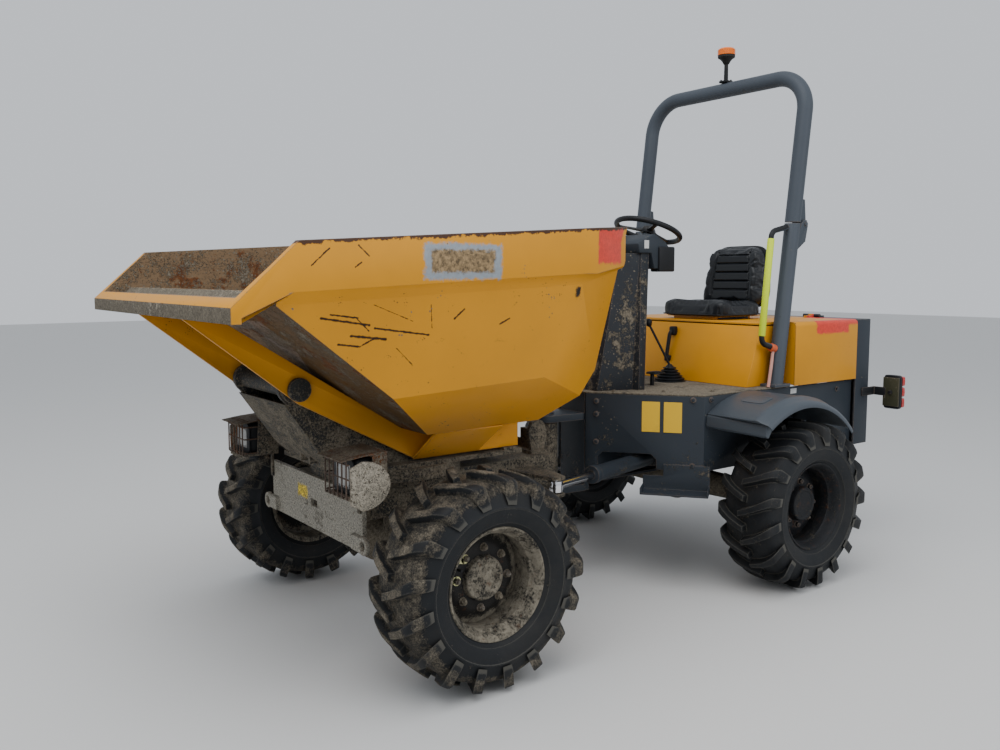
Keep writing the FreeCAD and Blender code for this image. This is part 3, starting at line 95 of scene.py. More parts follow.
class StageSettings(PropertyGroup):
    camera_place: FloatVectorProperty(name="Camera", description="Place of the camera",
                                      subtype="TRANSLATION", unit="LENGTH", size=3,
                                      default=(3.5358, -2.8984, 1.5285))
    azimuth: FloatProperty(name="Azimuth", description="Camera heading in degrees, 0 looks along +Y",
                           default=53.923)
    pitch: FloatProperty(name="Pitch", description="Downward tilt of the camera in degrees", default=6.1885)
    roll: FloatProperty(name="Roll", description="Roll of the camera in degrees", default=-0.22)
    focal: FloatProperty(name="Focal length", description="In millimetres on a 36 mm sensor",
                         default=33.005)
    sky: FloatProperty(name="Sky", description="Strength of the even studio light", default=0.85)


def paint():
    return bpy.context.scene.dumper_paint


def wheels():
    return bpy.context.scene.dumper_wheels


# Modelling helpers

def deselect():
    if bpy.context.object and bpy.context.object.mode != "OBJECT":
        bpy.ops.object.mode_set(mode="OBJECT")
    bpy.ops.object.select_all(action="DESELECT")


def select(*objects):
    deselect()
    for obj in objects:
        obj.select_set(True)
    bpy.context.view_layer.objects.active = objects[0]
    return objects[0]


def settle(obj):
    """Puts the object's place, turn and scale into its mesh."""
    select(obj)
    bpy.ops.object.transform_apply(location=True, rotation=True, scale=True)
    return obj


def modified(obj, kind, **settings):
    """Adds a modifier and applies it."""
    select(obj)
    modifier = obj.modifiers.new(kind.title(), kind)
    for key, value in settings.items():
        setattr(modifier, key, value)
    bpy.ops.object.modifier_apply(modifier=modifier.name)
    return obj


def bevelled(obj, width, segments=2, angle=28):
    return modified(obj, "BEVEL", width=width, segments=segments, limit_method="ANGLE",
                    angle_limit=math.radians(angle), use_clamp_overlap=True)


def joined(*objects):
    select(*objects)
    if len(objects) > 1:
        bpy.ops.object.join()
    return objects[0]


def box(low, high, bevel=0.0, segments=2):
    centre = (Vector(low) + Vector(high)) / 2
    size = Vector(high) - Vector(low)
    deselect()
    bpy.ops.mesh.primitive_cube_add(size=1, location=centre, scale=size)
    obj = settle(bpy.context.object)
    return bevelled(obj, bevel, segments) if bevel else obj


def rod(start, end, radius, sides=24, bevel=0.0):
    a, b = Vector(start), Vector(end)
    turn = (b - a).to_track_quat("Z", "Y").to_euler()
    deselect()
    bpy.ops.mesh.primitive_cone_add(vertices=sides, radius1=radius, radius2=radius, depth=(b - a).length,
                                    location=(a + b) / 2, rotation=turn)
    obj = settle(bpy.context.object)
    return bevelled(obj, bevel) if bevel else obj


def outline(points, fill="NGON"):
    """A primitive circle whose corners are set to the points."""
    deselect()
    bpy.ops.mesh.primitive_circle_add(vertices=len(points), fill_type=fill)
    obj = bpy.context.object
    for vertex, point in zip(obj.data.vertices, points):
        vertex.co = point
    return obj


def edit_all(obj):
    select(obj)
    bpy.ops.object.mode_set(mode="EDIT")
    bpy.ops.mesh.select_all(action="SELECT")


def outwards(obj):
    edit_all(obj)
    bpy.ops.mesh.remove_doubles(threshold=0.00005)
    bpy.ops.mesh.delete_loose()
    bpy.ops.mesh.select_all(action="SELECT")
    bpy.ops.mesh.normals_make_consistent(inside=False)
    bpy.ops.object.mode_set(mode="OBJECT")
    return obj


def extruded(points, shift, bevel=0.0, segments=2):
    obj = outline(points)
    edit_all(obj)
    bpy.ops.mesh.extrude_region_move(TRANSFORM_OT_translate={"value": shift})
    bpy.ops.object.mode_set(mode="OBJECT")
    outwards(obj)
    return bevelled(obj, bevel, segments) if bevel else obj


def lathe(profile, centre=(0, 0, 0), axis=X_AXIS, steps=72):
    """A closed profile of (along the axis, radius) points spun round the axis through centre."""
    axis = Vector(axis).normalized()
    side = Z_AXIS if abs(axis.z) < 0.9 else X_AXIS
    out = (side - axis * side.dot(axis)).normalized()
    obj = outline([Vector(centre) + axis * a + out * r for a, r in profile], "NOTHING")
    edit_all(obj)
    bpy.ops.mesh.spin(steps=steps, angle=math.tau, center=centre, axis=axis)
    return outwards(obj)


def swept(points, centre, degrees, steps):
    """A flat closed outline swung part of a turn round an axis along X through centre."""
    obj = outline(points)
    edit_all(obj)
    bpy.ops.mesh.spin(steps=steps, angle=math.radians(degrees), center=centre, axis=-X_AXIS)
    return outwards(obj)


def tube(points, radius, bend=0.03, resolution=6, sides=4):
    """A round tube along straight runs with rounded corners."""
    corners = [Vector(p) for p in points]
    deselect()
    bpy.ops.curve.primitive_bezier_curve_add()
    obj = bpy.context.object
    obj.location = (0, 0, 0)
    spline = obj.data.splines[0]
    knots = [(corners[0], corners[0], corners[0])]
    for before, corner, after in zip(corners, corners[1:], corners[2:]):
        back, ahead = before - corner, after - corner
        half = back.angle(ahead) / 2
        reach = min(bend / math.tan(half), 0.48 * back.length, 0.48 * ahead.length)
        grip = reach * math.tan(half) * 4 / 3 * math.tan((math.pi - 2 * half) / 4)
        start = corner + back.normalized() * reach
        end = corner + ahead.normalized() * reach
        knots.append((start, start, start - back.normalized() * grip))
        knots.append((end, end - ahead.normalized() * grip, end))
    knots.append((corners[-1], corners[-1], corners[-1]))
    spline.bezier_points.add(len(knots) - len(spline.bezier_points))
    for point, (place, left, right) in zip(spline.bezier_points, knots):
        point.handle_left_type = point.handle_right_type = "FREE"
        point.co, point.handle_left, point.handle_right = place, left, right
    spline.resolution_u = resolution
    obj.data.dimensions = "3D"
    obj.data.bevel_depth = radius
    obj.data.bevel_resolution = sides
    obj.data.use_fill_caps = True
    select(obj)
    bpy.ops.object.convert(target="MESH")
    return outwards(bpy.context.object)


def loft(sections):
    """Closed sections of as many points each, bridged one after the other and closed at both ends."""
    rings = [outline(points, "NOTHING") for points in sections]
    obj = joined(*rings)
    edit_all(obj)
    bpy.ops.mesh.bridge_edge_loops()
    bpy.ops.mesh.select_all(action="DESELECT")
    bpy.ops.mesh.select_mode(type="EDGE")
    bpy.ops.mesh.select_non_manifold()
    bpy.ops.mesh.edge_face_add()
    bpy.ops.mesh.select_mode(type="VERT")
    bpy.ops.object.mode_set(mode="OBJECT")
    return outwards(obj)


def copied(obj, transform):
    """A copy at another place, with its own mesh."""
    twin = obj.copy()
    twin.data = obj.data.copy()
    bpy.context.scene.collection.objects.link(twin)
    twin.data.transform(transform)
    if transform.determinant() < 0:
        twin.data.flip_normals()
    return twin


def mirrored(obj):
    return copied(obj, Matrix.Scale(-1, 4, X_AXIS))


def drop(*objects):
    """Removes patterns that were only copied."""
    for obj in objects:
        bpy.data.objects.remove(obj)


def cad_copy(node_name, bevel=0.003):
    """A merged copy of a CAD node's mesh with its edges eased."""
    obj = bpy.data.objects.new(node_name + "_eased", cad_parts[node_name].data.copy())
    bpy.context.scene.collection.objects.link(obj)
    obj.data.materials.clear()
    edit_all(obj)
    bpy.ops.mesh.remove_doubles(threshold=0.00003)
    bpy.ops.mesh.dissolve_limited(angle_limit=math.radians(1.0))
    bpy.ops.object.mode_set(mode="OBJECT")
    return bevelled(obj, bevel, angle=30) if bevel else obj


def finished(obj, name, body, slot, *finishes, stands_for=(), smooth=32):
    """Names the piece, gives it its finishes, and lets it ride on its body."""
    settle(obj)
    bpy.ops.object.shade_smooth_by_angle(angle=math.radians(smooth))
    obj.name = name
    obj.data.name = name
    obj.data.materials.clear()
    for finish in finishes:
        obj.data.materials.append(bpy.data.materials[finish])
    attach(obj, body)
    if stands_for:
        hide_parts(*stands_for)
    return obj


def eased(node_name, body, slot, finish, bevel=0.003):
    """A CAD node's own shape with eased edges, in place of the node."""
    return finished(cad_copy(node_name, bevel), node_name + "_look", body, slot, finish,
                    stands_for=[node_name])


def pair(piece, name, body, slot, finish, nodes=(), smooth=32):
    """The left piece and its mirror image, in place of the left and the right node."""
    for hand, obj in (("left", piece), ("right", mirrored(piece))):
        finished(obj, name + "_" + hand, body, slot, finish, stands_for=[n + "_" + hand for n in nodes],
                 smooth=smooth)


# Shader helpers

def node(tree, kind, inputs=None, **settings):
    """A shader node whose inputs are values or the sockets that feed them."""
    made = tree.nodes.new("ShaderNode" + kind)
    for key, value in settings.items():
        setattr(made, key, value)
    for key, value in (inputs or {}).items():
        if isinstance(value, NodeSocket):
            tree.links.new(value, made.inputs[key])
        else:
            made.inputs[key].default_value = value
    return made


def maths(tree, operation, a, b=0.0, clamp=False):
    return node(tree, "Math", {0: a, 1: b}, operation=operation, use_clamp=clamp).outputs[0]


def plus(tree, a, b, clamp=False):
    return maths(tree, "ADD", a, b, clamp)


def minus(tree, a, b, clamp=False):
    return maths(tree, "SUBTRACT", a, b, clamp)


def times(tree, a, b):
    return maths(tree, "MULTIPLY", a, b)


def remapped(tree, value, low, high, to_low=0.0, to_high=1.0):
    return node(tree, "MapRange", {"Value": value, "From Min": low, "From Max": high, "To Min": to_low,
                                   "To Max": to_high}, clamp=True).outputs["Result"]


def noise(tree, place, scale, detail=4.0, rough=0.6, stretch=None, turn=None):
    if stretch or turn:
        place = node(tree, "Mapping", {"Vector": place, "Scale": stretch or (1, 1, 1),
                                       "Rotation": turn or (0, 0, 0)}).outputs[0]
    inputs = {"Vector": place, "Scale": scale, "Detail": detail, "Roughness": rough}
    return node(tree, "TexNoise", inputs).outputs["Fac"]


def wavering(tree, place, scale, detail, rough, spread):
    """Noise about nought, for the ragged border of a mask."""
    return times(tree, minus(tree, noise(tree, place, scale, detail, rough), 0.5), spread)


def tinted(shade, factor):
    return tuple(factor * c for c in shade)


def scaled(tree, shade, factor):
    """A colour times a value."""
    return node(tree, "VectorMath", {0: shade, 1: factor}, operation="MULTIPLY").outputs[0]


def mixed(tree, factor, a, b):
    made = node(tree, "Mix", data_type="RGBA")
    for key, value in ((0, factor), (6, a), (7, b)):
        if isinstance(value, NodeSocket):
            tree.links.new(value, made.inputs[key])
        elif key == 0:
            made.inputs[key].default_value = value
        else:
            made.inputs[key].default_value = (*value, 1) if len(value) == 3 else value
    return made.outputs[2]


def new_group(name, inputs, outputs):
    group = bpy.data.node_groups.new(name, "ShaderNodeTree")
    for label, value in inputs:
        socket = group.interface.new_socket(name=label, in_out="INPUT", socket_type="NodeSocketFloat")
        socket.default_value = value
    for label in outputs:
        group.interface.new_socket(name=label, in_out="OUTPUT", socket_type="NodeSocketFloat")
    start = group.nodes.new("NodeGroupInput")
    end = group.nodes.new("NodeGroupOutput")
    return group, start.outputs, end.inputs


def object_place(tree):
    return node(tree, "TexCoord").outputs["Object"]


def edge_wear_group():
    """A broken mask along outer edges, from the angle between the true normal and a rounded one."""
    group, given, out = new_group("Edge wear", (("Radius", 0.006), ("Amount", 0.5), ("Scale", 30.0)),
                                  ("Mask",))
    rounded = node(group, "Bevel", {"Radius": given["Radius"]}, samples=4).outputs[0]
    plain = node(group, "NewGeometry").outputs["Normal"]
    match = node(group, "VectorMath", {0: rounded, 1: plain}, operation="DOT_PRODUCT").outputs["Value"]
    edge = remapped(group, minus(group, 1.0, match), 0.01, 0.14)
    patches = noise(group, object_place(group), given["Scale"], 5.0, 0.7)
    limit = minus(group, 0.85, times(group, given["Amount"], 0.6))
    worn = maths(group, "GREATER_THAN", times(group, edge, plus(group, patches, 0.35)), limit)
    group.links.new(worn, out["Mask"])


def mud_group():
    """Dried mud: thick below a height, splashed above it, with its own relief."""
    group, given, out = new_group("Mud", (("Height", 0.6), ("Fade", 0.5), ("Amount", 0.5), ("Scale", 9.0),
                                          ("Grit", 0.5)), ("Mask", "Relief"))
    place = object_place(group)
    height = node(group, "SeparateXYZ", {0: place}).outputs["Z"]
    above = minus(group, height, given["Height"])
    share = minus(group, 1.0, maths(group, "DIVIDE", above, given["Fade"]), clamp=True)
    broad = noise(group, place, given["Scale"], 10.0, 0.74)
    fine = noise(group, place, times(group, given["Scale"], 12.0), 6.0, 0.8)
    smooth_share = times(group, broad, minus(group, 1.0, given["Grit"]))
    sum_noise = plus(group, smooth_share, times(group, fine, given["Grit"]))
    limit = minus(group, 0.70, times(group, times(group, share, given["Amount"]), 0.34))
    mask = node(group, "MapRange", {"Value": minus(group, sum_noise, limit), "From Min": 0.0,
                                    "From Max": 0.035}, clamp=True).outputs["Result"]
    group.links.new(mask, out["Mask"])
    group.links.new(times(group, mask, plus(group, fine, 0.4)), out["Relief"])


def scratch_group():
    """Thin scratches in two directions, gathered in patches."""
    group, given, out = new_group("Scratches", (("Scale", 5.0), ("Amount", 0.5)), ("Mask",))
    place = object_place(group)
    lines = []
    for turn in ((0.0, 0.5, 0.2), (0.9, -0.2, 0.1)):
        value = noise(group, place, given["Scale"], 3.0, 0.55, (1.0, 1.6, 14.0), turn)
        lines.append(remapped(group, maths(group, "ABSOLUTE", minus(group, value, 0.5)), 0.0, 0.006, 1.0,
                              0.0))
    both = maths(group, "MAXIMUM", lines[0], lines[1])
    patches = noise(group, place, 3.1, 3.0, 0.6)
    limit = minus(group, 0.78, times(group, given["Amount"], 0.4))
    where = remapped(group, minus(group, patches, limit), 0.0, 0.08)
    group.links.new(times(group, both, where), out["Mask"])


def speckle_group():
    """Small round flecks of mud or chipped paint."""
    group, given, out = new_group("Speckle", (("Scale", 60.0), ("Amount", 0.4)), ("Mask",))
    place = object_place(group)
    cells = node(group, "TexVoronoi", {"Vector": place, "Scale": given["Scale"]}, feature="F1")
    pick = node(group, "SeparateColor", {0: cells.outputs["Color"]}).outputs[0]
    size = times(group, maths(group, "POWER", pick, 3.0), 0.42)
    dot = maths(group, "LESS_THAN", cells.outputs["Distance"], size)
    patches = noise(group, place, times(group, given["Scale"], 0.09), 4.0, 0.6)
    limit = minus(group, 0.8, times(group, given["Amount"], 0.5))
    group.links.new(times(group, dot, maths(group, "GREATER_THAN", patches, limit)), out["Mask"])


def grain_group():
    """The fine pebble of vinyl and moulded plastic."""
    group, given, out = new_group("Grain", (("Scale", 420.0), ("Depth", 0.5)), ("Height",))
    cells = node(group, "TexVoronoi", {"Vector": object_place(group), "Scale": given["Scale"]},
                 feature="SMOOTH_F1")
    group.links.new(times(group, cells.outputs["Distance"], given["Depth"]), out["Height"])


def placed_group(tree, name, **inputs):
    made = tree.nodes.new("ShaderNodeGroup")
    made.node_tree = bpy.data.node_groups[name]
    for key, value in inputs.items():
        made.inputs[key.replace("_", " ").capitalize()].default_value = value
    return made.outputs


def new_material(name):
    material = bpy.data.materials.new(name)
    material.use_nodes = True
    tree = material.node_tree
    shader = tree.nodes["Principled BSDF"]
    shader.inputs["Specular IOR Level"].default_value = 0.22
    return tree, shader


def bumped(tree, height, distance, strength=0.6, under=None):
    inputs = {"Height": height, "Distance": distance, "Strength": strength}
    if under is not None:
        inputs["Normal"] = under
    return node(tree, "Bump", inputs).outputs["Normal"]


def coated(tree, shader, body, rough, relief, distance, strength, under=None):
    """Feeds the shader its colour, its roughness and a relief of so many metres."""
    tree.links.new(body, shader.inputs["Base Color"])
    tree.links.new(rough, shader.inputs["Roughness"])
    tree.links.new(bumped(tree, relief, distance, strength, under), shader.inputs["Normal"])


def region(tree, place, low, high, soft=0.005):
    """A soft-edged box in the object's own coordinates, with a ragged border."""
    ragged = wavering(tree, place, 40.0, 8.0, 0.8, soft * 12)
    parts = node(tree, "SeparateXYZ", {0: place}).outputs
    mask = None
    for socket, a, b in zip(parts, low, high):
        shifted = plus(tree, socket, ragged)
        inside = times(tree, remapped(tree, shifted, a - soft, a + soft),
                       remapped(tree, shifted, b - soft, b + soft, 1.0, 0.0))
        mask = inside if mask is None else times(tree, mask, inside)
    return mask


def gouge_mask(tree, place, gouges):
    """Dark strokes on the left side, each a line from one (y, z) place to another."""
    parts = node(tree, "SeparateXYZ", {0: place}).outputs
    flat = node(tree, "CombineXYZ", {1: parts["Y"], 2: parts["Z"]}).outputs[0]
    ragged = wavering(tree, place, 70.0, 4.0, 0.7, 0.010)
    mask = None
    for start, end, width in gouges:
        a, b = Vector((0, *start)), Vector((0, *end))
        run = b - a
        rel = node(tree, "VectorMath", {0: flat, 1: a}, operation="SUBTRACT").outputs[0]
        along = run / run.length_squared
        share = node(tree, "VectorMath", {0: rel, 1: along}, operation="DOT_PRODUCT").outputs["Value"]
        share = plus(tree, share, 0.0, clamp=True)
        nearest = node(tree, "VectorMath", {0: run, "Scale": share}, operation="SCALE").outputs[0]
        away = node(tree, "VectorMath", {0: rel, 1: nearest}, operation="DISTANCE").outputs["Value"]
        line = remapped(tree, plus(tree, away, ragged), 0.4 * width, width, 1.0, 0.0)
        mask = line if mask is None else maths(tree, "MAXIMUM", mask, line)
    return times(tree, mask, maths(tree, "GREATER_THAN", parts["X"], 0.3))


def rim_mask(tree, place):
    """The rusty strip along the top of the skip's rim."""
    parts = node(tree, "SeparateXYZ", {0: place}).outputs
    top = plus(tree, times(tree, parts["Y"], 0.0578), 1.7391)
    ragged = wavering(tree, place, 26.0, 6.0, 0.75, 0.050)
    above = minus(tree, plus(tree, parts["Z"], ragged), top)
    return remapped(tree, above, -0.013, -0.009)


def painted(name, base, wear=0.5, wear_radius=0.006, mud_height=1.6, mud_fade=0.5, mud_amount=0.2,
            scratches=0.3, rust=0.2, specks=0.8, gloss=0.5, grit=0.5, mottle=0.0, patches=(), gouges=(),
            rim=False):
    """Enamel over steel: uneven colour, worn edges, scratches, rust, flecks and mud."""
    tree, shader = new_material(name)
    place = object_place(tree)
    broad = noise(tree, place, 2.3, 4.0, 0.6)
    fine = noise(tree, place, 60.0, 3.0, 0.6)
    shade = plus(tree, times(tree, broad, 0.34), 0.83)
    body = scaled(tree, tuple(base), shade)
    for patch_colour, low, high, spots in patches:
        grains = remapped(tree, noise(tree, place, 60.0, 8.0, 0.82), 0.42, 0.58, 1.0 - spots, 1.0 + spots)
        body = mixed(tree, region(tree, place, low, high), body, scaled(tree, tuple(patch_colour), grains))
    if mottle:
        grains = remapped(tree, noise(tree, place, 120.0, 8.0, 0.88), 0.40, 0.60, 1.0 - mottle,
                          1.0 + mottle)
        body = scaled(tree, body, grains)
    if gouges:
        body = mixed(tree, gouge_mask(tree, place, gouges), body, tinted(paint().rust, 0.22))
    if rim:
        body = mixed(tree, rim_mask(tree, place), body, tinted(paint().rust, 0.55))
    rusty = noise(tree, place, 7.0, 6.0, 0.72)
    rust_mask = remapped(tree, minus(tree, rusty, 0.80 - 0.3 * rust), 0.0, 0.05)
    rust_colour = mixed(tree, fine, tinted(paint().rust, 0.5), tinted(paint().rust, 1.9))
    worn = placed_group(tree, "Edge wear", radius=wear_radius, amount=wear)["Mask"]
    bare = mixed(tree, fine, tuple(paint().rust), tuple(paint().bare_steel))
    lines = placed_group(tree, "Scratches", amount=scratches)["Mask"]
    body = mixed(tree, rust_mask, body, rust_colour)
    body = mixed(tree, lines, body, tinted(paint().rust, 0.55))
    body = mixed(tree, worn, body, bare)
    flecks = placed_group(tree, "Speckle", scale=90.0, amount=specks)["Mask"]
    mud = placed_group(tree, "Mud", height=mud_height, fade=mud_fade, amount=mud_amount, grit=grit)
    clods = remapped(tree, noise(tree, place, 95.0, 8.0, 0.82), 0.34, 0.68)
    mud_colour = mixed(tree, clods, tinted(paint().mud, 0.30), tinted(paint().mud, 1.55))
    dirt = maths(tree, "MAXIMUM", mud["Mask"], flecks)
    body = mixed(tree, dirt, body, mud_colour)
    pits = placed_group(tree, "Speckle", scale=150.0, amount=min(1.0, 1.3 * specks))["Mask"]
    body = mixed(tree, times(tree, pits, 0.8), body, tinted(paint().mud, 0.18))
    rough = plus(tree, times(tree, maths(tree, "MAXIMUM", dirt, rust_mask), 0.45),
                  plus(tree, times(tree, broad, 0.16), gloss))
    ripple = bumped(tree, noise(tree, place, 3.6, 2.0, 0.5), 0.010, 0.28)
    relief = plus(tree, mud["Relief"], times(tree, rust_mask, times(tree, fine, 0.5)))
    coated(tree, shader, body, rough, relief, 0.004, 0.8, ripple)


def moulded(name, base, gloss=0.4, grain=0.1, dust=0.4, mud_height=0.3, mud_amount=0.2, shine=0.22):
    """Plastic or rubber: grain, dust that settles in patches, a little mud low down."""
    tree, shader = new_material(name)
    place = object_place(tree)
    broad = noise(tree, place, 6.0, 5.0, 0.65)
    fine = noise(tree, place, 140.0, 3.0, 0.7)
    shader.inputs["Specular IOR Level"].default_value = shine
    dusty = remapped(tree, broad, 0.62 - 0.3 * dust, 0.95 - 0.3 * dust)
    dull = tinted(paint().mud, 0.55)
    body = mixed(tree, times(tree, dusty, 0.5), tuple(base), dull)
    mud = placed_group(tree, "Mud", height=mud_height, fade=0.4, amount=mud_amount)
    mud_colour = mixed(tree, fine, tinted(paint().mud, 0.6), tinted(paint().mud, 1.4))
    body = mixed(tree, mud["Mask"], body, mud_colour)
    rough = plus(tree, times(tree, maths(tree, "MAXIMUM", dusty, mud["Mask"]), 0.3), gloss)
    pebble = placed_group(tree, "Grain", scale=380.0, depth=grain)["Height"]
    relief = plus(tree, pebble, times(tree, mud["Relief"], 2.0))
    coated(tree, shader, body, rough, relief, 0.0012, 0.5)


def wheel_radius(tree, place):
    """The distance from the nearer axle, and how far that axle lies behind the front one."""
    parts = node(tree, "SeparateXYZ", {0: place}).outputs
    rear = times(tree, maths(tree, "GREATER_THAN", parts["Y"], 0.0), REAR_AXLE - FRONT_AXLE)
    along = minus(tree, parts["Y"], plus(tree, rear, FRONT_AXLE))
    up = minus(tree, parts["Z"], AXLE_HEIGHT)
    square = plus(tree, times(tree, along, along), times(tree, up, up))
    return maths(tree, "SQRT", square), rear


def tread_rubber():
    """Black rubber with scuffed bars, dust in the scoops between them and mud packed in the tread."""
    tree, shader = new_material("tyre_rubber")
    place = object_place(tree)
    radius, rear = wheel_radius(tree, place)
    fine = noise(tree, place, 150.0, 8.0, 0.8)
    broad = noise(tree, place, 19.0, 8.0, 0.76)
    base = mixed(tree, times(tree, broad, 0.6), tuple(paint().rubber), tinted(paint().rubber, 2.4))
    scuffed = placed_group(tree, "Edge wear", radius=0.010, amount=0.8, scale=60.0)["Mask"]
    base = mixed(tree, times(tree, scuffed, 0.6), base, (0.10, 0.095, 0.08))
    scoop = times(tree, remapped(tree, radius, 0.318, 0.345),
                  remapped(tree, radius, 0.378, 0.398, 1.0, 0.0))
    top = remapped(tree, radius, 0.398, 0.406)
    muddy = minus(tree, 1.0, times(tree, rear, 0.42), clamp=True)
    share = times(tree, muddy, plus(tree, times(tree, scoop, 0.16), times(tree, top, 0.20)))
    level = plus(tree, times(tree, broad, 0.7), times(tree, fine, 0.3))
    packed = remapped(tree, plus(tree, level, share), 0.60, 0.74)
    mud_fine = mixed(tree, remapped(tree, fine, 0.35, 0.68), tinted(paint().mud, 0.12),
                     tinted(paint().mud, 2.0))
    base = mixed(tree, times(tree, packed, 0.85), base, mud_fine)
    film = remapped(tree, noise(tree, place, 5.0, 5.0, 0.65), 0.45, 0.75)
    base = mixed(tree, times(tree, film, 0.14), base, tinted(paint().mud, 0.5))
    rough = plus(tree, times(tree, packed, 0.3), 0.58)
    clods = times(tree, packed, plus(tree, fine, 0.6))
    coated(tree, shader, base, rough, plus(tree, times(tree, fine, 0.3), clods), 0.004, 0.8)


def rim_paint(name, base, pale, share):
    """Speckled mud over the paint, thick on the barrel and the hub and thin on the disc between them."""
    tree, shader = new_material(name)
    place = object_place(tree)
    radius = wheel_radius(tree, place)[0]
    grit = noise(tree, place, 110.0, 8.0, 0.82)
    broad = noise(tree, place, 15.0, 6.0, 0.7)
    thin = times(tree, remapped(tree, radius, 0.083, 0.090), remapped(tree, radius, 0.135, 0.168, 1.0, 0.0))
    level = plus(tree, times(tree, grit, 0.55), times(tree, broad, 0.45))
    level = minus(tree, level, times(tree, thin, 0.15))
    caked = remapped(tree, level, 0.58 - 0.17 * share, 0.66 - 0.17 * share)
    tone = mixed(tree, remapped(tree, noise(tree, place, 45.0, 6.0, 0.75), 0.35, 0.65), tinted(pale, 0.55),
                 tuple(pale))
    body = mixed(tree, caked, tuple(base), tone)
    rusty = remapped(tree, noise(tree, place, 24.0, 6.0, 0.75), 0.58, 0.66)
    body = mixed(tree, times(tree, rusty, 0.5), body, tuple(paint().rust))
    relief = plus(tree, times(tree, caked, 0.7), grit)
    coated(tree, shader, body, remapped(tree, caked, 0.0, 1.0, 0.55, 0.92), relief, 0.0035, 0.8)


def lens(name, tint):
    """A clear coat over smeared colour, with fine ribs."""
    tree, shader = new_material(name)
    place = object_place(tree)
    smear = noise(tree, place, 40.0, 4.0, 0.6)
    film = remapped(tree, smear, 0.55, 0.8, 0.0, 0.5)
    shader.inputs["Coat Weight"].default_value = 0.5
    shader.inputs["Coat Roughness"].default_value = 0.08
    ribs = node(tree, "TexWave", {"Vector": place, "Scale": 60.0}, bands_direction="X").outputs["Fac"]
    coated(tree, shader, mixed(tree, film, tuple(tint), tinted(paint().mud, 0.8)),
           remapped(tree, smear, 0.3, 0.8, 0.12, 0.4), ribs, 0.001, 0.3)


def ram_chrome():
    """Bright chrome with patches of mud."""
    tree, shader = new_material("ram_chrome")
    stained = remapped(tree, noise(tree, object_place(tree), 22.0, 5.0, 0.7), 0.66, 0.86)
    body = mixed(tree, stained, (0.75, 0.75, 0.77), tinted(paint().mud, 0.7))
    tree.links.new(body, shader.inputs["Base Color"])
    tree.links.new(minus(tree, 1.0, stained), shader.inputs["Metallic"])
    tree.links.new(plus(tree, times(tree, stained, 0.5), 0.15), shader.inputs["Roughness"])


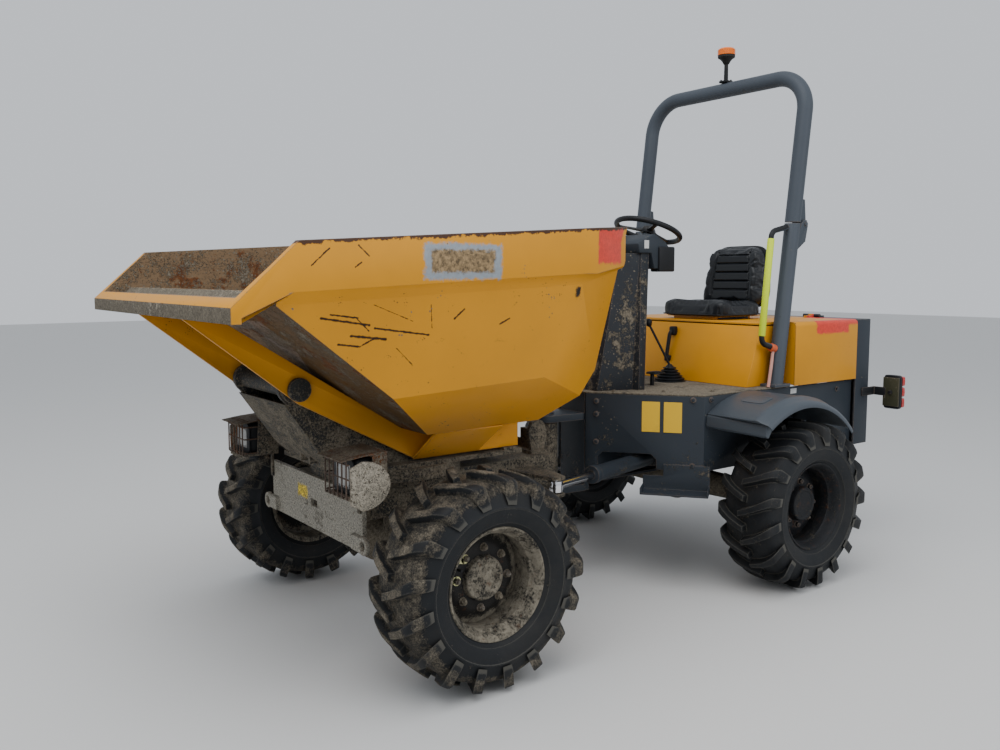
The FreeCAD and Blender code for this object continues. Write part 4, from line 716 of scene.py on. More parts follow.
def make_materials():
    """All finishes, each under a plain name."""
    for build in (edge_wear_group, mud_group, scratch_group, speckle_group, grain_group):
        build()
    p = paint()
    skip_patches = (((0.26, 0.29, 0.32), (0.74, -1.265, 1.515), (0.90, -0.940, 1.640), 0.08),
                    (p.primer, (0.74, -1.235, 1.540), (0.90, -0.970, 1.618), 0.60),
                    (p.spray_red, (0.60, -0.470, 1.575), (0.90, -0.250, 1.740), 0.12),
                    ((0.010, 0.008, 0.006), (0.74, -0.566, 1.445), (0.90, -0.540, 1.482), 0.0))
    gouges = (((-1.629, 1.394), (-1.452, 1.366), 0.0050), ((-1.432, 1.355), (-1.219, 1.324), 0.0045),
              ((-1.518, 1.332), (-1.388, 1.316), 0.0060), ((-1.565, 1.306), (-1.484, 1.295), 0.0045),
              ((-1.484, 1.295), (-1.435, 1.319), 0.0040), ((-1.596, 1.405), (-1.496, 1.391), 0.0035),
              ((-1.503, 1.392), (-1.454, 1.347), 0.0028), ((-1.441, 1.434), (-1.286, 1.374), 0.0016),
              ((-1.344, 1.283), (-1.279, 1.223), 0.0016), ((-1.116, 1.378), (-1.078, 1.410), 0.0050),
              ((-0.915, 1.352), (-0.874, 1.371), 0.0045), ((-1.217, 1.429), (-1.207, 1.348), 0.0022),
              ((-1.511, 1.627), (-1.474, 1.594), 0.0035), ((-1.677, 1.562), (-1.615, 1.616), 0.0030),
              ((-1.525, 1.557), (-1.502, 1.573), 0.0035))
    cover_patches = ((p.spray_red, (0.560, 1.322, 1.212), (0.610, 1.610, 1.300), 0.12),
                     (p.spray_red, (0.30, 1.60, 1.255), (0.610, 1.70, 1.300), 0.12))
    sticker = (((0.50, 0.36, 0.03), (-0.160, -1.310, 0.582), (-0.060, -1.290, 0.634), 0.5),)
    painted("skip_outside", p.skip_yellow, wear=0.45, wear_radius=0.007, mud_height=0.7, mud_amount=0.32,
            rust=0.16, specks=0.3, gloss=0.36, patches=skip_patches, gouges=gouges, rim=True)
    # Dark brown for the skip's downward faces at the front: dirt, and painted shade for the shade under them
    painted("skip_under_dirt_and_shade", (0.095, 0.052, 0.018), mud_amount=0.55, scratches=0.9, rust=0.8, specks=0.9)
    painted("skip_inside", (0.16, 0.1, 0.05), wear=0.6, mud_fade=0.6, mud_amount=0.55, scratches=0.9,
            rust=0.85)
    painted("lip_steel", (0.3, 0.26, 0.19), wear=0.6, mud_height=1.5, mud_amount=0.75, scratches=0.9,
            rust=0.5)
    painted("cover_yellow", p.skip_yellow, wear=0.25, mud_height=0.7, scratches=0.15, rust=0.0, specks=0.2,
            gloss=0.35, patches=cover_patches)
    painted("frame_paint", p.frame_grey, wear=0.3, mud_height=0.62, mud_fade=0.35, mud_amount=0.42,
            rust=0.05, specks=0.35, gloss=0.38)
    painted("console_paint", (0.016, 0.019, 0.024), wear=0.4, mud_height=1.42, mud_fade=0.4,
            mud_amount=0.52, rust=0.1, specks=0.7, gloss=0.42, grit=0.3)
    painted("front_paint", (0.026, 0.027, 0.027), wear=0.3, mud_height=1.0, mud_fade=0.6, mud_amount=0.7,
            rust=0.3, specks=1.0, grit=0.62)
    painted("bumper_paint", (0.235, 0.218, 0.178), wear=0.4, mud_height=1.0, mud_amount=0.4, scratches=0.4,
            rust=0.1, specks=1.0, mottle=0.75, patches=sticker)
    painted("mud_plate", (0.3, 0.27, 0.215), mud_height=1.2, mud_amount=0.45, specks=1.0, gloss=0.55,
            mottle=0.6)
    painted("wire_dark", (0.055, 0.035, 0.025), wear=0.4, mud_height=0.5, rust=0.9, specks=0.3)
    painted("deck_paint", p.frame_grey, mud_amount=0.85, scratches=0.5, rust=0.1, gloss=0.45, grit=0.35)
    painted("olive_paint", (0.05, 0.05, 0.03), wear=0.3, mud_height=0.8, mud_amount=0.3, specks=0.5,
            gloss=0.35)
    painted("rail_black", (0.014, 0.015, 0.017), wear=0.3, mud_height=0.9, scratches=0.2, specks=0.3,
            gloss=0.4)
    painted("hoop_paint", p.hoop_grey, wear=0.25, mud_height=0.9, mud_fade=0.4, mud_amount=0.3,
            scratches=0.2, rust=0.05, specks=0.25, gloss=0.4)
    painted("rusty_steel", (0.1, 0.062, 0.04), mud_height=1.0, mud_fade=0.4, mud_amount=0.7, rust=0.9,
            gloss=0.55)
    rim_paint("rim_front_paint", (0.017, 0.016, 0.015), (0.27, 0.24, 0.185), 0.90)
    rim_paint("rim_rear_paint", (0.013, 0.014, 0.016), (0.115, 0.098, 0.072), 0.18)
    painted("cast_iron", (0.035, 0.034, 0.033), wear=0.3, mud_height=0.8, mud_fade=0.4, mud_amount=0.75,
            rust=0.4, specks=0.7)
    painted("nut_front", (0.16, 0.15, 0.13), mud_height=0.9, mud_amount=0.7, rust=0.6, gloss=0.45)
    painted("nut_rear", (0.02, 0.021, 0.023), mud_height=0.5, mud_amount=0.3, specks=0.4, gloss=0.45)
    tread_rubber()
    moulded("tag_pale", (0.62, 0.6, 0.3), gloss=0.45)
    # Mudguard plastic: dark grey, with a blue tint that is a painted reflection of the sky
    moulded("guard_plastic_and_sky_reflection", (0.058, 0.07, 0.084), grain=0.5, dust=0.05, mud_height=0.8, mud_amount=0.25)
    moulded("plastic_look", p.plastic, gloss=0.42, grain=0.3, dust=0.1)
    moulded("vinyl_look", p.vinyl, gloss=0.36, grain=0.35, dust=0.0, shine=0.3)
    moulded("hose_rubber", p.rubber, gloss=0.5, grain=0.2, dust=0.5, mud_height=0.8, mud_amount=0.4)
    moulded("grip_sleeve", p.sleeve, gloss=0.35, dust=0.2)
    moulded("label_yellow", p.label, grain=0.0, dust=0.3)
    moulded("label_white", (0.55, 0.56, 0.55), grain=0.0, dust=0.35)
    moulded("strap_pink", (0.6, 0.3, 0.24), gloss=0.5, grain=0.2)
    moulded("clamp_orange", (0.6, 0.11, 0.04), dust=0.3)
    lens("beacon_amber", p.amber)
    lens("tail_red", p.red)
    lens("lamp_clear", (0.52, 0.52, 0.50))
    ram_chrome()


# Pieces, one operator for each group

class DUMPER_OT_materials(Operator):
    """Make the finishes"""
    bl_idname = "dumper.materials"
    bl_label = "Finishes"

    def execute(self, context):
        make_materials()
        return {"FINISHED"}


def raise_ledge(shell):
    """Lifts the ledge under the skip's rim, most at the front, and keeps its inner edge on the sloping wall."""
    front, height, slope = -1.900, 1.404, 0.1149
    front_lift, fall, wall_slope, drip = 0.066, 0.0689, 0.138, 0.040
    for vertex in shell.data.vertices:
        x, y, z = vertex.co
        level = height + slope * (y - front)
        if abs(x) > 0.80 and -1.85 < y < -0.30 and level - 0.045 < z < level + 0.012:
            lift = front_lift - fall * (y - front)
            vertex.co.z += lift
            if abs(x) < 0.845:
                vertex.co.x += math.copysign(wall_slope * lift, x)
            elif z < level - 0.02:
                vertex.co.z += drip


class DUMPER_OT_skip(Operator):
    """Ease the skip's sheet edges and give its inside and outside their finishes, with dirt and painted shade on
    the downward faces at the front
    """
    bl_idname = "dumper.skip"
    bl_label = "Skip"

    def execute(self, context):
        inside, lip, under = 1, 2, 3
        shell = cad_copy("skip_shell", 0.0)
        raise_ledge(shell)
        bevelled(shell, 0.004, 2, 30)
        shell = finished(shell, "skip_sheet", "skip", "yellow_paint", "skip_outside", "skip_inside",
                         "lip_steel", "skip_under_dirt_and_shade", stands_for=["skip_shell"])
        cavity = Vector((0, -0.95, 1.45))
        for face in shell.data.polygons:
            inward = face.normal.dot(cavity - face.center) > 0.05
            if face.center.y < -1.86:
                face.material_index = lip
            elif inward and abs(face.center.x) < 0.86 and face.normal.z > -0.3:
                face.material_index = inside
            # Faces turned down at the front get the dark brown of dirt and painted shade
            elif face.normal.z < -0.25 and face.normal.y < -0.2 and face.center.y < -0.9:
                face.material_index = under
        for side in ("left", "right"):
            eased("skip_rib_" + side, "skip", "yellow_paint", "skip_outside", 0.002)
        return {"FINISHED"}


class DUMPER_OT_swivel(Operator):
    """Ease the swivel frame, and model the bosses of the skip's pivot"""
    bl_idname = "dumper.swivel"
    bl_label = "Swivel frame"

    def execute(self, context):
        eased("swivel_frame", "swivel", "front_grey", "front_paint")
        bosses = [rod((side * 0.286, -1.480, 1.100), (side * 0.306, -1.480, 1.100), 0.046, 32, 0.003) for side
                  in (-1, 1)]
        finished(joined(*bosses), "pivot_bosses", "swivel", "front_grey", "front_paint")
        return {"FINISHED"}


class DUMPER_OT_rams(Operator):
    """Finish the tipping ram and the steering ram"""
    bl_idname = "dumper.rams"
    bl_label = "Rams"

    def execute(self, context):
        for ram in ("tip", "steer"):
            eased(ram + "_barrel", ram + "_ram_barrel", "dark_paint", "frame_paint", 0.002)
            eased(ram + "_rod", ram + "_ram_rod", "chrome", "ram_chrome", 0.001)
        return {"FINISHED"}


def make_cage(left, right, front, low, high):
    """Round wires in front of a headlamp, with two that run back beside it."""
    wires = []
    gaps = 5
    for i in range(gaps + 1):
        x = left + 0.008 + i * (right - left - 0.016) / gaps
        wires.append(tube([(x, front + 0.030, high + 0.010), (x, front, high + 0.004),
                           (x, front - 0.002, low - 0.004), (x, front + 0.024, low - 0.006)], 0.0032, 0.008,
                          3, 2))
    for z in (low + 0.006, 0.800, high - 0.016):
        wires.append(tube([(left - 0.003, front + 0.080, z), (left - 0.003, front + 0.004, z),
                           (right + 0.003, front + 0.004, z)], 0.0032, 0.012, 3, 2))
    return joined(*wires)


def make_headlamp():
    """The moulded case, its round back and cable boot, with the bezel round the lens."""
    x, y, z, half, high = 0.512, -1.400, 0.800, 0.082, 0.070
    case = loft([soft_ring((x, z), half * s, high * s, 0.30, lambda a, b, d=d: (a, d, b), 32)
                 for d, s in ((y, 1.0), (y + 0.060, 1.0), (y + 0.100, 0.80), (y + 0.118, 0.55))])
    bevelled(case, 0.002, 2, 40)
    back = lathe([(0.100, 0.0), (0.100, 0.046), (0.135, 0.044), (0.140, 0.036), (0.150, 0.034),
                  (0.150, 0.0)], (x, y, z), Y_AXIS, 32)
    bezel = loft([soft_ring((x, z), half * s, high * s, 0.30, lambda a, b, d=d: (a, y + d, b), 32) for d,
                  s in ((0.004, 1.03), (-0.008, 1.03), (-0.012, 0.99), (-0.012, 0.90), (-0.004, 0.88))])
    return joined(case, back, bezel)


def make_lamp_lens():
    """The glass with its upright ribs."""
    x, y, z = 0.512, -1.400, 0.800
    glass = loft([soft_ring((x, z), 0.072 * s, 0.060 * s, 0.30, lambda a, b, d=d: (a, y + d, b), 32)
                  for d, s in ((0.001, 1.0), (-0.007, 0.99), (-0.011, 0.90), (-0.0125, 0.5))])
    starts = [x - 0.066 + 0.0132 * i for i in range(1, 10)]
    ribs = [box((a, y - 0.0135, z - 0.046), (a + 0.004, y - 0.011, z + 0.046), 0.001, 1) for a in starts]
    return joined(glass, *ribs)


class DUMPER_OT_front(Operator):
    """Ease the front chassis, and model the headlamps with their cages, hoods and guards"""
    bl_idname = "dumper.front"
    bl_label = "Front chassis"

    def execute(self, context):
        eased("front_chassis", "front_frame", "front_grey", "front_paint")
        eased("bumper_plate", "front_frame", "front_grey", "bumper_paint", 0.003)
        eased("front_axle", "front_frame", "cast_dark", "cast_iron", 0.004)
        low, high, left, right, front, back = 0.730, 0.870, 0.418, 0.606, -1.442, -1.280
        turns = [math.radians(d) for d in range(-90, 91, 10)]
        nose = [(-1.385 + 0.116 * math.cos(a), 0.770 + 0.092 * math.sin(a)) for a in turns]
        side = [(-1.434, 0.708)] + nose + [(-1.434, 0.842)]
        hood = extruded([(left - 0.006, y, z) for y,
                         z in ((back, high + 0.014), (back, high + 0.020), (-1.380, high + 0.014),
                               (-1.470, high + 0.003), (-1.468, high - 0.002), (-1.380, high + 0.009))],
                        (right - left + 0.012, 0, 0), 0.001)
        guard = extruded([(right, y, z) for y, z in side], (0.006, 0, 0), 0.0012)
        shelf = box((left, front + 0.004, low - 0.008), (right + 0.002, back, low - 0.0003), 0.001)
        rib = box((right - 0.006, back - 0.060, low - 0.004), (right + 0.002, back, high + 0.015), 0.001)
        inner = extruded([(left - 0.006, y, z) for y,
                          z in ((back, high + 0.016), (front + 0.070, high + 0.010),
                                (front + 0.060, low - 0.008), (back, low - 0.008))], (0.006, 0, 0), 0.001)
        stay = box((left, -1.3103, 0.620), (0.436, -1.3003, low - 0.004), 0.001)
        plates = {"lamp_hood": (joined(hood, rib), "rusty_steel", ("lamp_guard",)),
                  "lamp_side_guard": (guard, "mud_plate", ()),
                  "lamp_shelf": (joined(shelf, inner, stay), "front_paint", ()),
                  "lamp_cage": (make_cage(left, right, front, low, high), "wire_dark", ()),
                  "headlamp_case": (make_headlamp(), "plastic_look", ("headlamp",)),
                  "headlamp_lens": (make_lamp_lens(), "lamp_clear", ())}
        for name, (piece, finish, nodes) in plates.items():
            slot = "lamp" if name.startswith("headlamp") else "guard_steel"
            pair(piece, name, "front_frame", slot, finish, nodes, 40)
        return {"FINISHED"}


def make_bolt(radius=0.011):
    """A hexagon head on its washer, standing up along Z."""
    washer = rod((0, 0, 0), (0, 0, 0.0025), radius * 1.45, 20, 0.0006)
    head = rod((0, 0, 0.002), (0, 0, 0.002 + radius * 0.9), radius * 1.08, 6, radius * 0.10)
    return joined(washer, head)


def bolts(places, direction, radius=0.011):
    """Copies of one bolt at the places, all facing the same way."""
    pattern = make_bolt(radius)
    turn = Vector(direction).to_track_quat("Z", "Y").to_matrix().to_4x4()
    made = [copied(pattern, Matrix.Translation(place) @ turn) for place in places]
    drop(pattern)
    return joined(*made)


def make_mudguard():
    """The moulded guard: a rolled outer lip, a raised rib beside it, a boxed front end and a pressed pad."""
    centre_y, centre_z, crown = 0.800, 0.420, 0.528
    # across the guard, radius from the arch's centre
    section = [(0.5703, crown), (0.840, crown), (0.852, crown + 0.004), (0.872, crown + 0.002),
               (0.884, crown - 0.006), (0.905, crown - 0.012), (0.922, crown - 0.018),
               (0.933, crown - 0.032), (0.935, crown - 0.046), (0.930, crown - 0.047),
               (0.926, crown - 0.034), (0.917, crown - 0.024), (0.880, crown - 0.013),
               (0.5703, crown - 0.006)]
    rear = math.radians(42)
    points = [(x, centre_y + r * math.cos(rear), centre_z + r * math.sin(rear)) for x, r in section]
    arch = bevelled(swept(points, (0, centre_y, centre_z), 82, 48), 0.0015, 2, 40)
    front = math.radians(124)
    y, z = centre_y + crown * math.cos(front), centre_z + crown * math.sin(front)
    nose = extruded([(0.5706, y + 0.075, z + 0.042), (0.5706, y - 0.006, z - 0.008),
                     (0.5706, y - 0.010, z - 0.060), (0.5706, y + 0.010, z - 0.072),
                     (0.5706, y + 0.045, z - 0.020)], (0.335, 0, 0), 0.006, 3)
    for vertex in nose.data.vertices:
        if vertex.co.x > 0.88:
            vertex.co.y += 0.030
            vertex.co.z -= 0.010
    pad_angle = math.radians(104)

    def on_crown(across, along):
        angle, radius = pad_angle + along / crown, crown - 0.002
        return (across, centre_y + radius * math.cos(angle), centre_z + radius * math.sin(angle))

    ring = soft_ring((0.730, 0.0), 0.070, 0.045, 0.35, on_crown, 24)
    inner = [(x + (0.730 - x) * 0.12, py + (centre_y + crown * math.cos(pad_angle) - py) * 0.12 - 0.0015,
              pz + 0.0055) for x, py, pz in ring]
    pad = loft([ring, [(x, py - 0.001, pz + 0.004) for x, py, pz in ring], inner])
    return joined(arch, nose, pad)


def make_tail_lamp():
    """The lamp's bracket, its moulded case and a lens in three fields."""
    low, high, left, right, rear = 0.775, 0.965, 0.650, 0.752, 1.940
    arm = box((0.5923, 1.760, 0.846), (0.6003, rear - 0.056, 0.894), 0.003)
    bar = box((0.5923, rear - 0.062, 0.846), (0.670, rear - 0.054, 0.894), 0.003)
    plate = box((0.652, rear - 0.060, 0.790), (0.748, rear - 0.0515, 0.952), 0.003)
    case = loft([soft_ring(((left + right) / 2, (low + high) / 2), half, tall, 0.25, lambda a, b,
                           d=d: (a, d, b), 32) for d, half,
                 tall in ((rear - 0.052, 0.046, 0.090), (rear - 0.047, 0.051, 0.095),
                          (rear - 0.030, 0.051, 0.095), (rear - 0.027, 0.048, 0.092))])
    fields = [loft([soft_ring(((left + right) / 2, (a + b) / 2), 0.0525 - i, (b - a) / 2 - i, 0.3, lambda x,
                              z, d=d: (x, d, z), 24) for d,
                    i in ((rear - 0.030, 0.0), (rear - 0.005, 0.0005), (rear - 0.0005, 0.006))]) for a,
              b in ((low + 0.006, low + 0.064), (low + 0.067, low + 0.124), (low + 0.127, high - 0.006))]
    cable = rod((0.700, rear - 0.075, 0.870), (0.700, rear - 0.058, 0.870), 0.012, 20, 0.003)
    return {"tail_bracket": (joined(arm, bar, cable), "rail_black", "dark_paint"),
            "tail_back": (plate, "olive_paint", "dark_paint"),
            "tail_case": (case, "plastic_look", "black_plastic"),
            "tail_lens": (joined(*fields), "tail_red", "red_lens")}


def blank_plaque(name, corners, outward, finish="label_yellow", thick=0.0012):
    """A thin blank plate with rounded corners on a flat face."""
    shift = Vector(outward).normalized() * thick
    lifted = [Vector(c) + Vector(outward).normalized() * 0.0004 for c in corners]
    plate = extruded(lifted, shift, 0.0004, 1)
    return finished(plate, name, "rear_frame", "rail_yellow", finish)


OBLIQUE_START = Vector((0.107, 0.130, 0.0))
OBLIQUE_ALONG = Vector((0.463, 0.355, 0.0)).normalized()
OBLIQUE_OUT = Vector((0.355, -0.463, 0.0)).normalized()


def on_oblique(along, z, out=0.0):
    """A place on the left oblique side plate."""
    return OBLIQUE_START + OBLIQUE_ALONG * along + OBLIQUE_OUT * out + Z_AXIS * z


class DUMPER_OT_rear(Operator):
    """Ease the rear frame, and model its mudguards, lamps, step tread, bolts and blank plates"""
    bl_idname = "dumper.rear"
    bl_label = "Rear frame"

    def execute(self, context):
        for name in ("rear_spine", "side_plate_left", "side_plate_right", "rear_panel"):
            eased(name, "rear_frame", "dark_paint", "frame_paint", 0.0025)
        eased("deck_plate", "rear_frame", "dark_paint", "deck_paint", 0.0025)
        eased("rear_axle", "rear_frame", "cast_dark", "cast_iron", 0.004)
        eased("engine_block", "rear_frame", "cast_dark", "cast_iron", 0.006)
        pair(make_mudguard(), "mudguard_shell", "rear_frame", "dark_paint", "guard_plastic_and_sky_reflection", ("mudguard",),
             35)
        for name, (piece, finish, slot) in make_tail_lamp().items():
            pair(piece, name, "rear_frame", slot, finish, ("tail_lamp",) if name == "tail_case" else (), 40)
        for i, start in enumerate((0.282, 0.389)):
            end = start + 0.088
            blank_plaque("blank_plate_" + str(i + 1),
                         [on_oblique(start, 0.760), on_oblique(end, 0.760), on_oblique(end, 0.910),
                          on_oblique(start, 0.910)], OBLIQUE_OUT)
        blank_plaque("blank_plate_small",
                     [(0.570, 1.150, 0.905), (0.570, 1.200, 0.905), (0.570, 1.200, 0.932),
                      (0.570, 1.150, 0.932)], X_AXIS, "label_white")
        heads = bolts([on_oblique(s, z, 0.0003) for s,
                       z in ((0.055, 0.905), (0.055, 0.840), (0.055, 0.700), (0.530, 0.925), (0.530, 0.600))],
                      OBLIQUE_OUT, 0.010)
        flank = bolts([(0.5703, y, z) for y,
                       z in ((0.530, 0.925), (1.560, 0.900), (1.560, 0.640), (1.240, 0.640))], X_AXIS,
                      0.010)
        pair(joined(heads, flank), "plate_bolts", "rear_frame", "dark_paint", "frame_paint")
        deck_bolts = bolts([(x, y, 0.950) for x,
                            y in ((0.20, 0.235), (-0.20, 0.235), (0.36, 0.42), (-0.36, 0.42), (0.50, 0.62),
                                  (-0.50, 0.62), (0.545, 0.99), (-0.545, 0.99))], Z_AXIS, 0.008)
        finished(deck_bolts, "deck_bolts", "rear_frame", "dark_paint", "deck_paint")
        handle = tube([(-0.075, 0.925, 1.060), (-0.085, 0.905, 1.075), (-0.085, 0.930, 1.205),
                       (-0.075, 0.965, 1.222)], 0.011, 0.022, 5, 4)
        grip_low = box((-0.100, 0.898, 1.045), (-0.062, 0.929, 1.078), 0.008, 3)
        grip_high = box((-0.100, 0.935, 1.190), (-0.062, 0.972, 1.240), 0.009, 3)
        finished(joined(handle, grip_low, grip_high), "box_handle", "rear_frame", "black_plastic",
                 "plastic_look")
        return {"FINISHED"}


class DUMPER_OT_bodywork(Operator):
    """Ease the covers and the console, and model the bulkhead, gear lever, pedals and dash fittings"""
    bl_idname = "dumper.bodywork"
    bl_label = "Bodywork"

    def execute(self, context):
        eased("seat_box", "rear_frame", "yellow_paint", "cover_yellow", 0.003)
        eased("engine_cover", "cover", "yellow_paint", "cover_yellow", 0.003)
        bulkhead = box((-0.596, 1.1424, 0.9535), (0.596, 1.1454, 1.2790), 0.001, 1)
        finished(bulkhead, "engine_bulkhead", "rear_frame", "yellow_paint", "cover_yellow")
        eased("console_tower", "rear_frame", "dark_paint", "console_paint", 0.006)
        eased("dash_box", "rear_frame", "black_plastic", "frame_paint", 0.006)
        switches = box((0.092, 0.585, 1.545), (0.162, 0.6995, 1.675), 0.008, 3)
        finished(switches, "switch_box", "rear_frame", "black_plastic", "plastic_look")
        floor = 0.9503
        folds = []
        for i in range(5):
            r = 0.082 - 0.0115 * i
            z = 0.008 + 0.0145 * i
            folds += [(z, r - 0.010), (z + 0.004, r), (z + 0.008, r), (z + 0.012, r - 0.012)]
        bellows = lathe([(0.0, 0.0), (0.0, 0.088), (0.004, 0.088), (0.008, 0.080)] + folds + [(0.086, 0.016),
                                                                                              (0.092, 0.011),
                                                                                              (0.092, 0.0)],
                        (0.040, 0.800, floor), Z_AXIS, 48)
        lever = tube([(0.040, 0.800, floor + 0.085), (0.020, 0.775, floor + 0.150),
                      (-0.040, 0.722, floor + 0.305)], 0.0065, 0.05, 4, 3)
        knob = lathe([(-0.024, 0.0), (-0.024, 0.008), (-0.018, 0.013), (-0.006, 0.020), (0.006, 0.0215),
                      (0.015, 0.017), (0.020, 0.009), (0.021, 0.0)], (-0.045, 0.717, floor + 0.320),
                     (-0.35, -0.32, 1.0), 32)
        pedals = []
        for x in (-0.150, 0.130):
            pedals.append(box((x - 0.034, 0.560, floor + 0.060), (x + 0.034, 0.640, floor + 0.068), 0.004,
                              3))
            pedals.append(box((x - 0.008, 0.566, floor), (x + 0.008, 0.582, floor + 0.062), 0.002))
            pedals += [box((x - 0.029, y, floor + 0.068), (x + 0.029, y + 0.005, floor + 0.072), 0.0012, 1)
                       for y in (0.566 + 0.012 * i for i in range(6))]
        finished(joined(bellows, lever, knob, *pedals), "gear_lever_and_pedals", "rear_frame",
                 "black_plastic", "plastic_look", stands_for=["controls"], smooth=42)
        blank_plaque("blank_plate_dash",
                     [(0.1502, 0.484, 1.664), (0.1502, 0.516, 1.664), (0.1502, 0.516, 1.706),
                      (0.1502, 0.484, 1.706)], X_AXIS, "label_white")
        gauges = []
        for x, r in ((-0.085, 0.026), (0.085, 0.020)):
            gauges.append(lathe([(-0.002, 0.0), (-0.002, r), (0.006, r), (0.008, r - 0.002),
                                 (0.008, r - 0.004), (0.003, r - 0.005), (0.003, 0.0)], (x, 0.6905, 1.625),
                                Y_AXIS, 32))
        for x in (-0.030, 0.000, 0.030):
            gauges.append(box((x - 0.009, 0.688, 1.610), (x + 0.009, 0.697, 1.640), 0.003))
        finished(joined(*gauges), "dash_gauges", "rear_frame", "black_plastic", "plastic_look", smooth=40)
        heads = bolts([(x, 0.4525 + 0.0035, 1.652) for x in (-0.12, 0.12)], (0, -1, 0.2), 0.007)
        finished(heads, "dash_bolts", "rear_frame", "black_plastic", "plastic_look")
        return {"FINISHED"}


def post_line(z):
    """How far back the middle of a post lies at a height."""
    return 1.052 + (z - 0.950) * 0.128


class DUMPER_OT_hoop(Operator):
    """Ease the posts and the folding hoop, and model the grab rails and the beacon"""
    bl_idname = "dumper.hoop"
    bl_label = "Roll hoop"

    def execute(self, context):
        for side in ("left", "right"):
            eased("rops_post_" + side, "rear_frame", "hoop_grey", "hoop_paint", 0.0015)
        eased("rops_hoop", "roll_hoop", "hoop_grey", "hoop_paint", 0.0)
        x = 0.545
        top, low = 1.772, 1.180
        path = [Vector((x, post_line(top) - 0.045, top)), Vector((x, post_line(top) - 0.165, top - 0.026)),
                Vector((x, post_line(low) - 0.150, low)), Vector((x, post_line(low) - 0.045, low - 0.030))]
        rail = tube(path, 0.0138, 0.040, 6, 5)
        down = (path[2] - path[1]).normalized()
        sleeve = lathe([(0.036, 0.0), (0.036, 0.0160), (0.039, 0.0175), (0.530, 0.0175), (0.533, 0.0160),
                        (0.533, 0.0)], path[1], down, 28)
        clamp_place = path[3] + Vector((0, -0.012, 0.001))
        clamp = lathe([(-0.019, 0.0), (-0.019, 0.017), (-0.015, 0.0215), (0.015, 0.0215), (0.019, 0.017),
                       (0.019, 0.0)], clamp_place, (path[3] - path[2]), 28)
        strap = tube([clamp_place + Vector((0.004, -0.002, -0.018)),
                      clamp_place + Vector((0.010, -0.018, -0.085)),
                      clamp_place + Vector((0.016, -0.046, -0.199))], 0.0085, 0.05, 4, 3)
        pair(rail, "grab_rail", "rear_frame", "dark_paint", "rail_black", smooth=40)
        pair(sleeve, "grab_sleeve", "rear_frame", "rail_yellow", "grip_sleeve", smooth=40)
        finished(clamp, "rail_clamp", "rear_frame", "rail_yellow", "clamp_orange")
        finished(strap, "rail_strap", "rear_frame", "rail_yellow", "strap_pink")
        y, foot = post_line(2.560), 2.600
        stem = lathe([(0.0003, 0.0), (0.0003, 0.012), (0.1000, 0.011), (0.1040, 0.016), (0.1160, 0.022),
                      (0.1300, 0.033), (0.1380, 0.0465), (0.1430, 0.0475), (0.1500, 0.0475), (0.1500, 0.0)],
                     (0, y, foot), Z_AXIS, 48)
        clamp_plate = box((-0.026, y - 0.030, foot + 0.0003), (0.026, y + 0.030, foot + 0.012), 0.003)
        clamp_bolts = bolts([(s * 0.018, y + t * 0.020, foot + 0.012) for s in (-1, 1) for t in (-1, 1)],
                            Z_AXIS, 0.0045)
        finished(joined(stem, clamp_plate, clamp_bolts), "beacon_stem", "roll_hoop", "black_plastic",
                 "hose_rubber", smooth=40)
        rings = []
        for i in range(5):
            z = 0.1515 + 0.0062 * i
            rings += [(z, 0.0485), (z + 0.0022, 0.0492), (z + 0.0040, 0.0478)]
        lens_piece = lathe([(0.1500, 0.0)] + rings + [(0.1830, 0.0465), (0.1880, 0.0400), (0.1900, 0.0280),
                                                      (0.1902, 0.0)], (0, y, foot), Z_AXIS, 48)
        finished(lens_piece, "beacon_lens", "roll_hoop", "amber_lens", "beacon_amber",
                 stands_for=["beacon"], smooth=40)
        return {"FINISHED"}


class DUMPER_OT_handwheel(Operator):
    """Model the steering wheel: a padded ring, a domed hub and three flat spokes"""
    bl_idname = "dumper.handwheel"
    bl_label = "Steering wheel"

    def execute(self, context):
        radius, grip = 0.172, 0.0145
        ring = lathe([(grip * math.sin(a), radius + grip * math.cos(a)) for a in (math.tau * i / 16 for i
                                                                                  in range(16))],
                     axis=Z_AXIS, steps=96)
        hub = lathe([(-0.018, 0.0), (-0.018, 0.033), (-0.004, 0.036), (0.010, 0.034), (0.017, 0.027),
                     (0.019, 0.022), (0.0175, 0.020), (0.0215, 0.012), (0.022, 0.0)], axis=Z_AXIS, steps=48)
        spoke = loft([[(x, -half, low), (x, half, low), (x, half * 0.7, high), (x, -half * 0.7, high)] for x,
                      half, low,
                      high in ((0.022, 0.017, -0.009, 0.009), (0.070, 0.0125, -0.008, 0.004),
                               (0.130, 0.0120, -0.006, 0.004), (0.168, 0.0140, -0.006, 0.006))])
        bevelled(spoke, 0.0025, 2)
        parts = [ring, hub] + [copied(spoke, Matrix.Rotation(math.radians(a), 4, "Z")) for a in (90, 210, 330)]
        drop(spoke)
        wheel = joined(*parts)
        wheel.data.transform(Matrix.Translation((0, 0.660, 1.765)) @ Matrix.Rotation(math.radians(-20), 4,
                                                                                     "X"))
        finished(wheel, "steering_wheel_rim", "handwheel", "black_plastic", "plastic_look",
                 stands_for=["steering_wheel"], smooth=40)
        return {"FINISHED"}


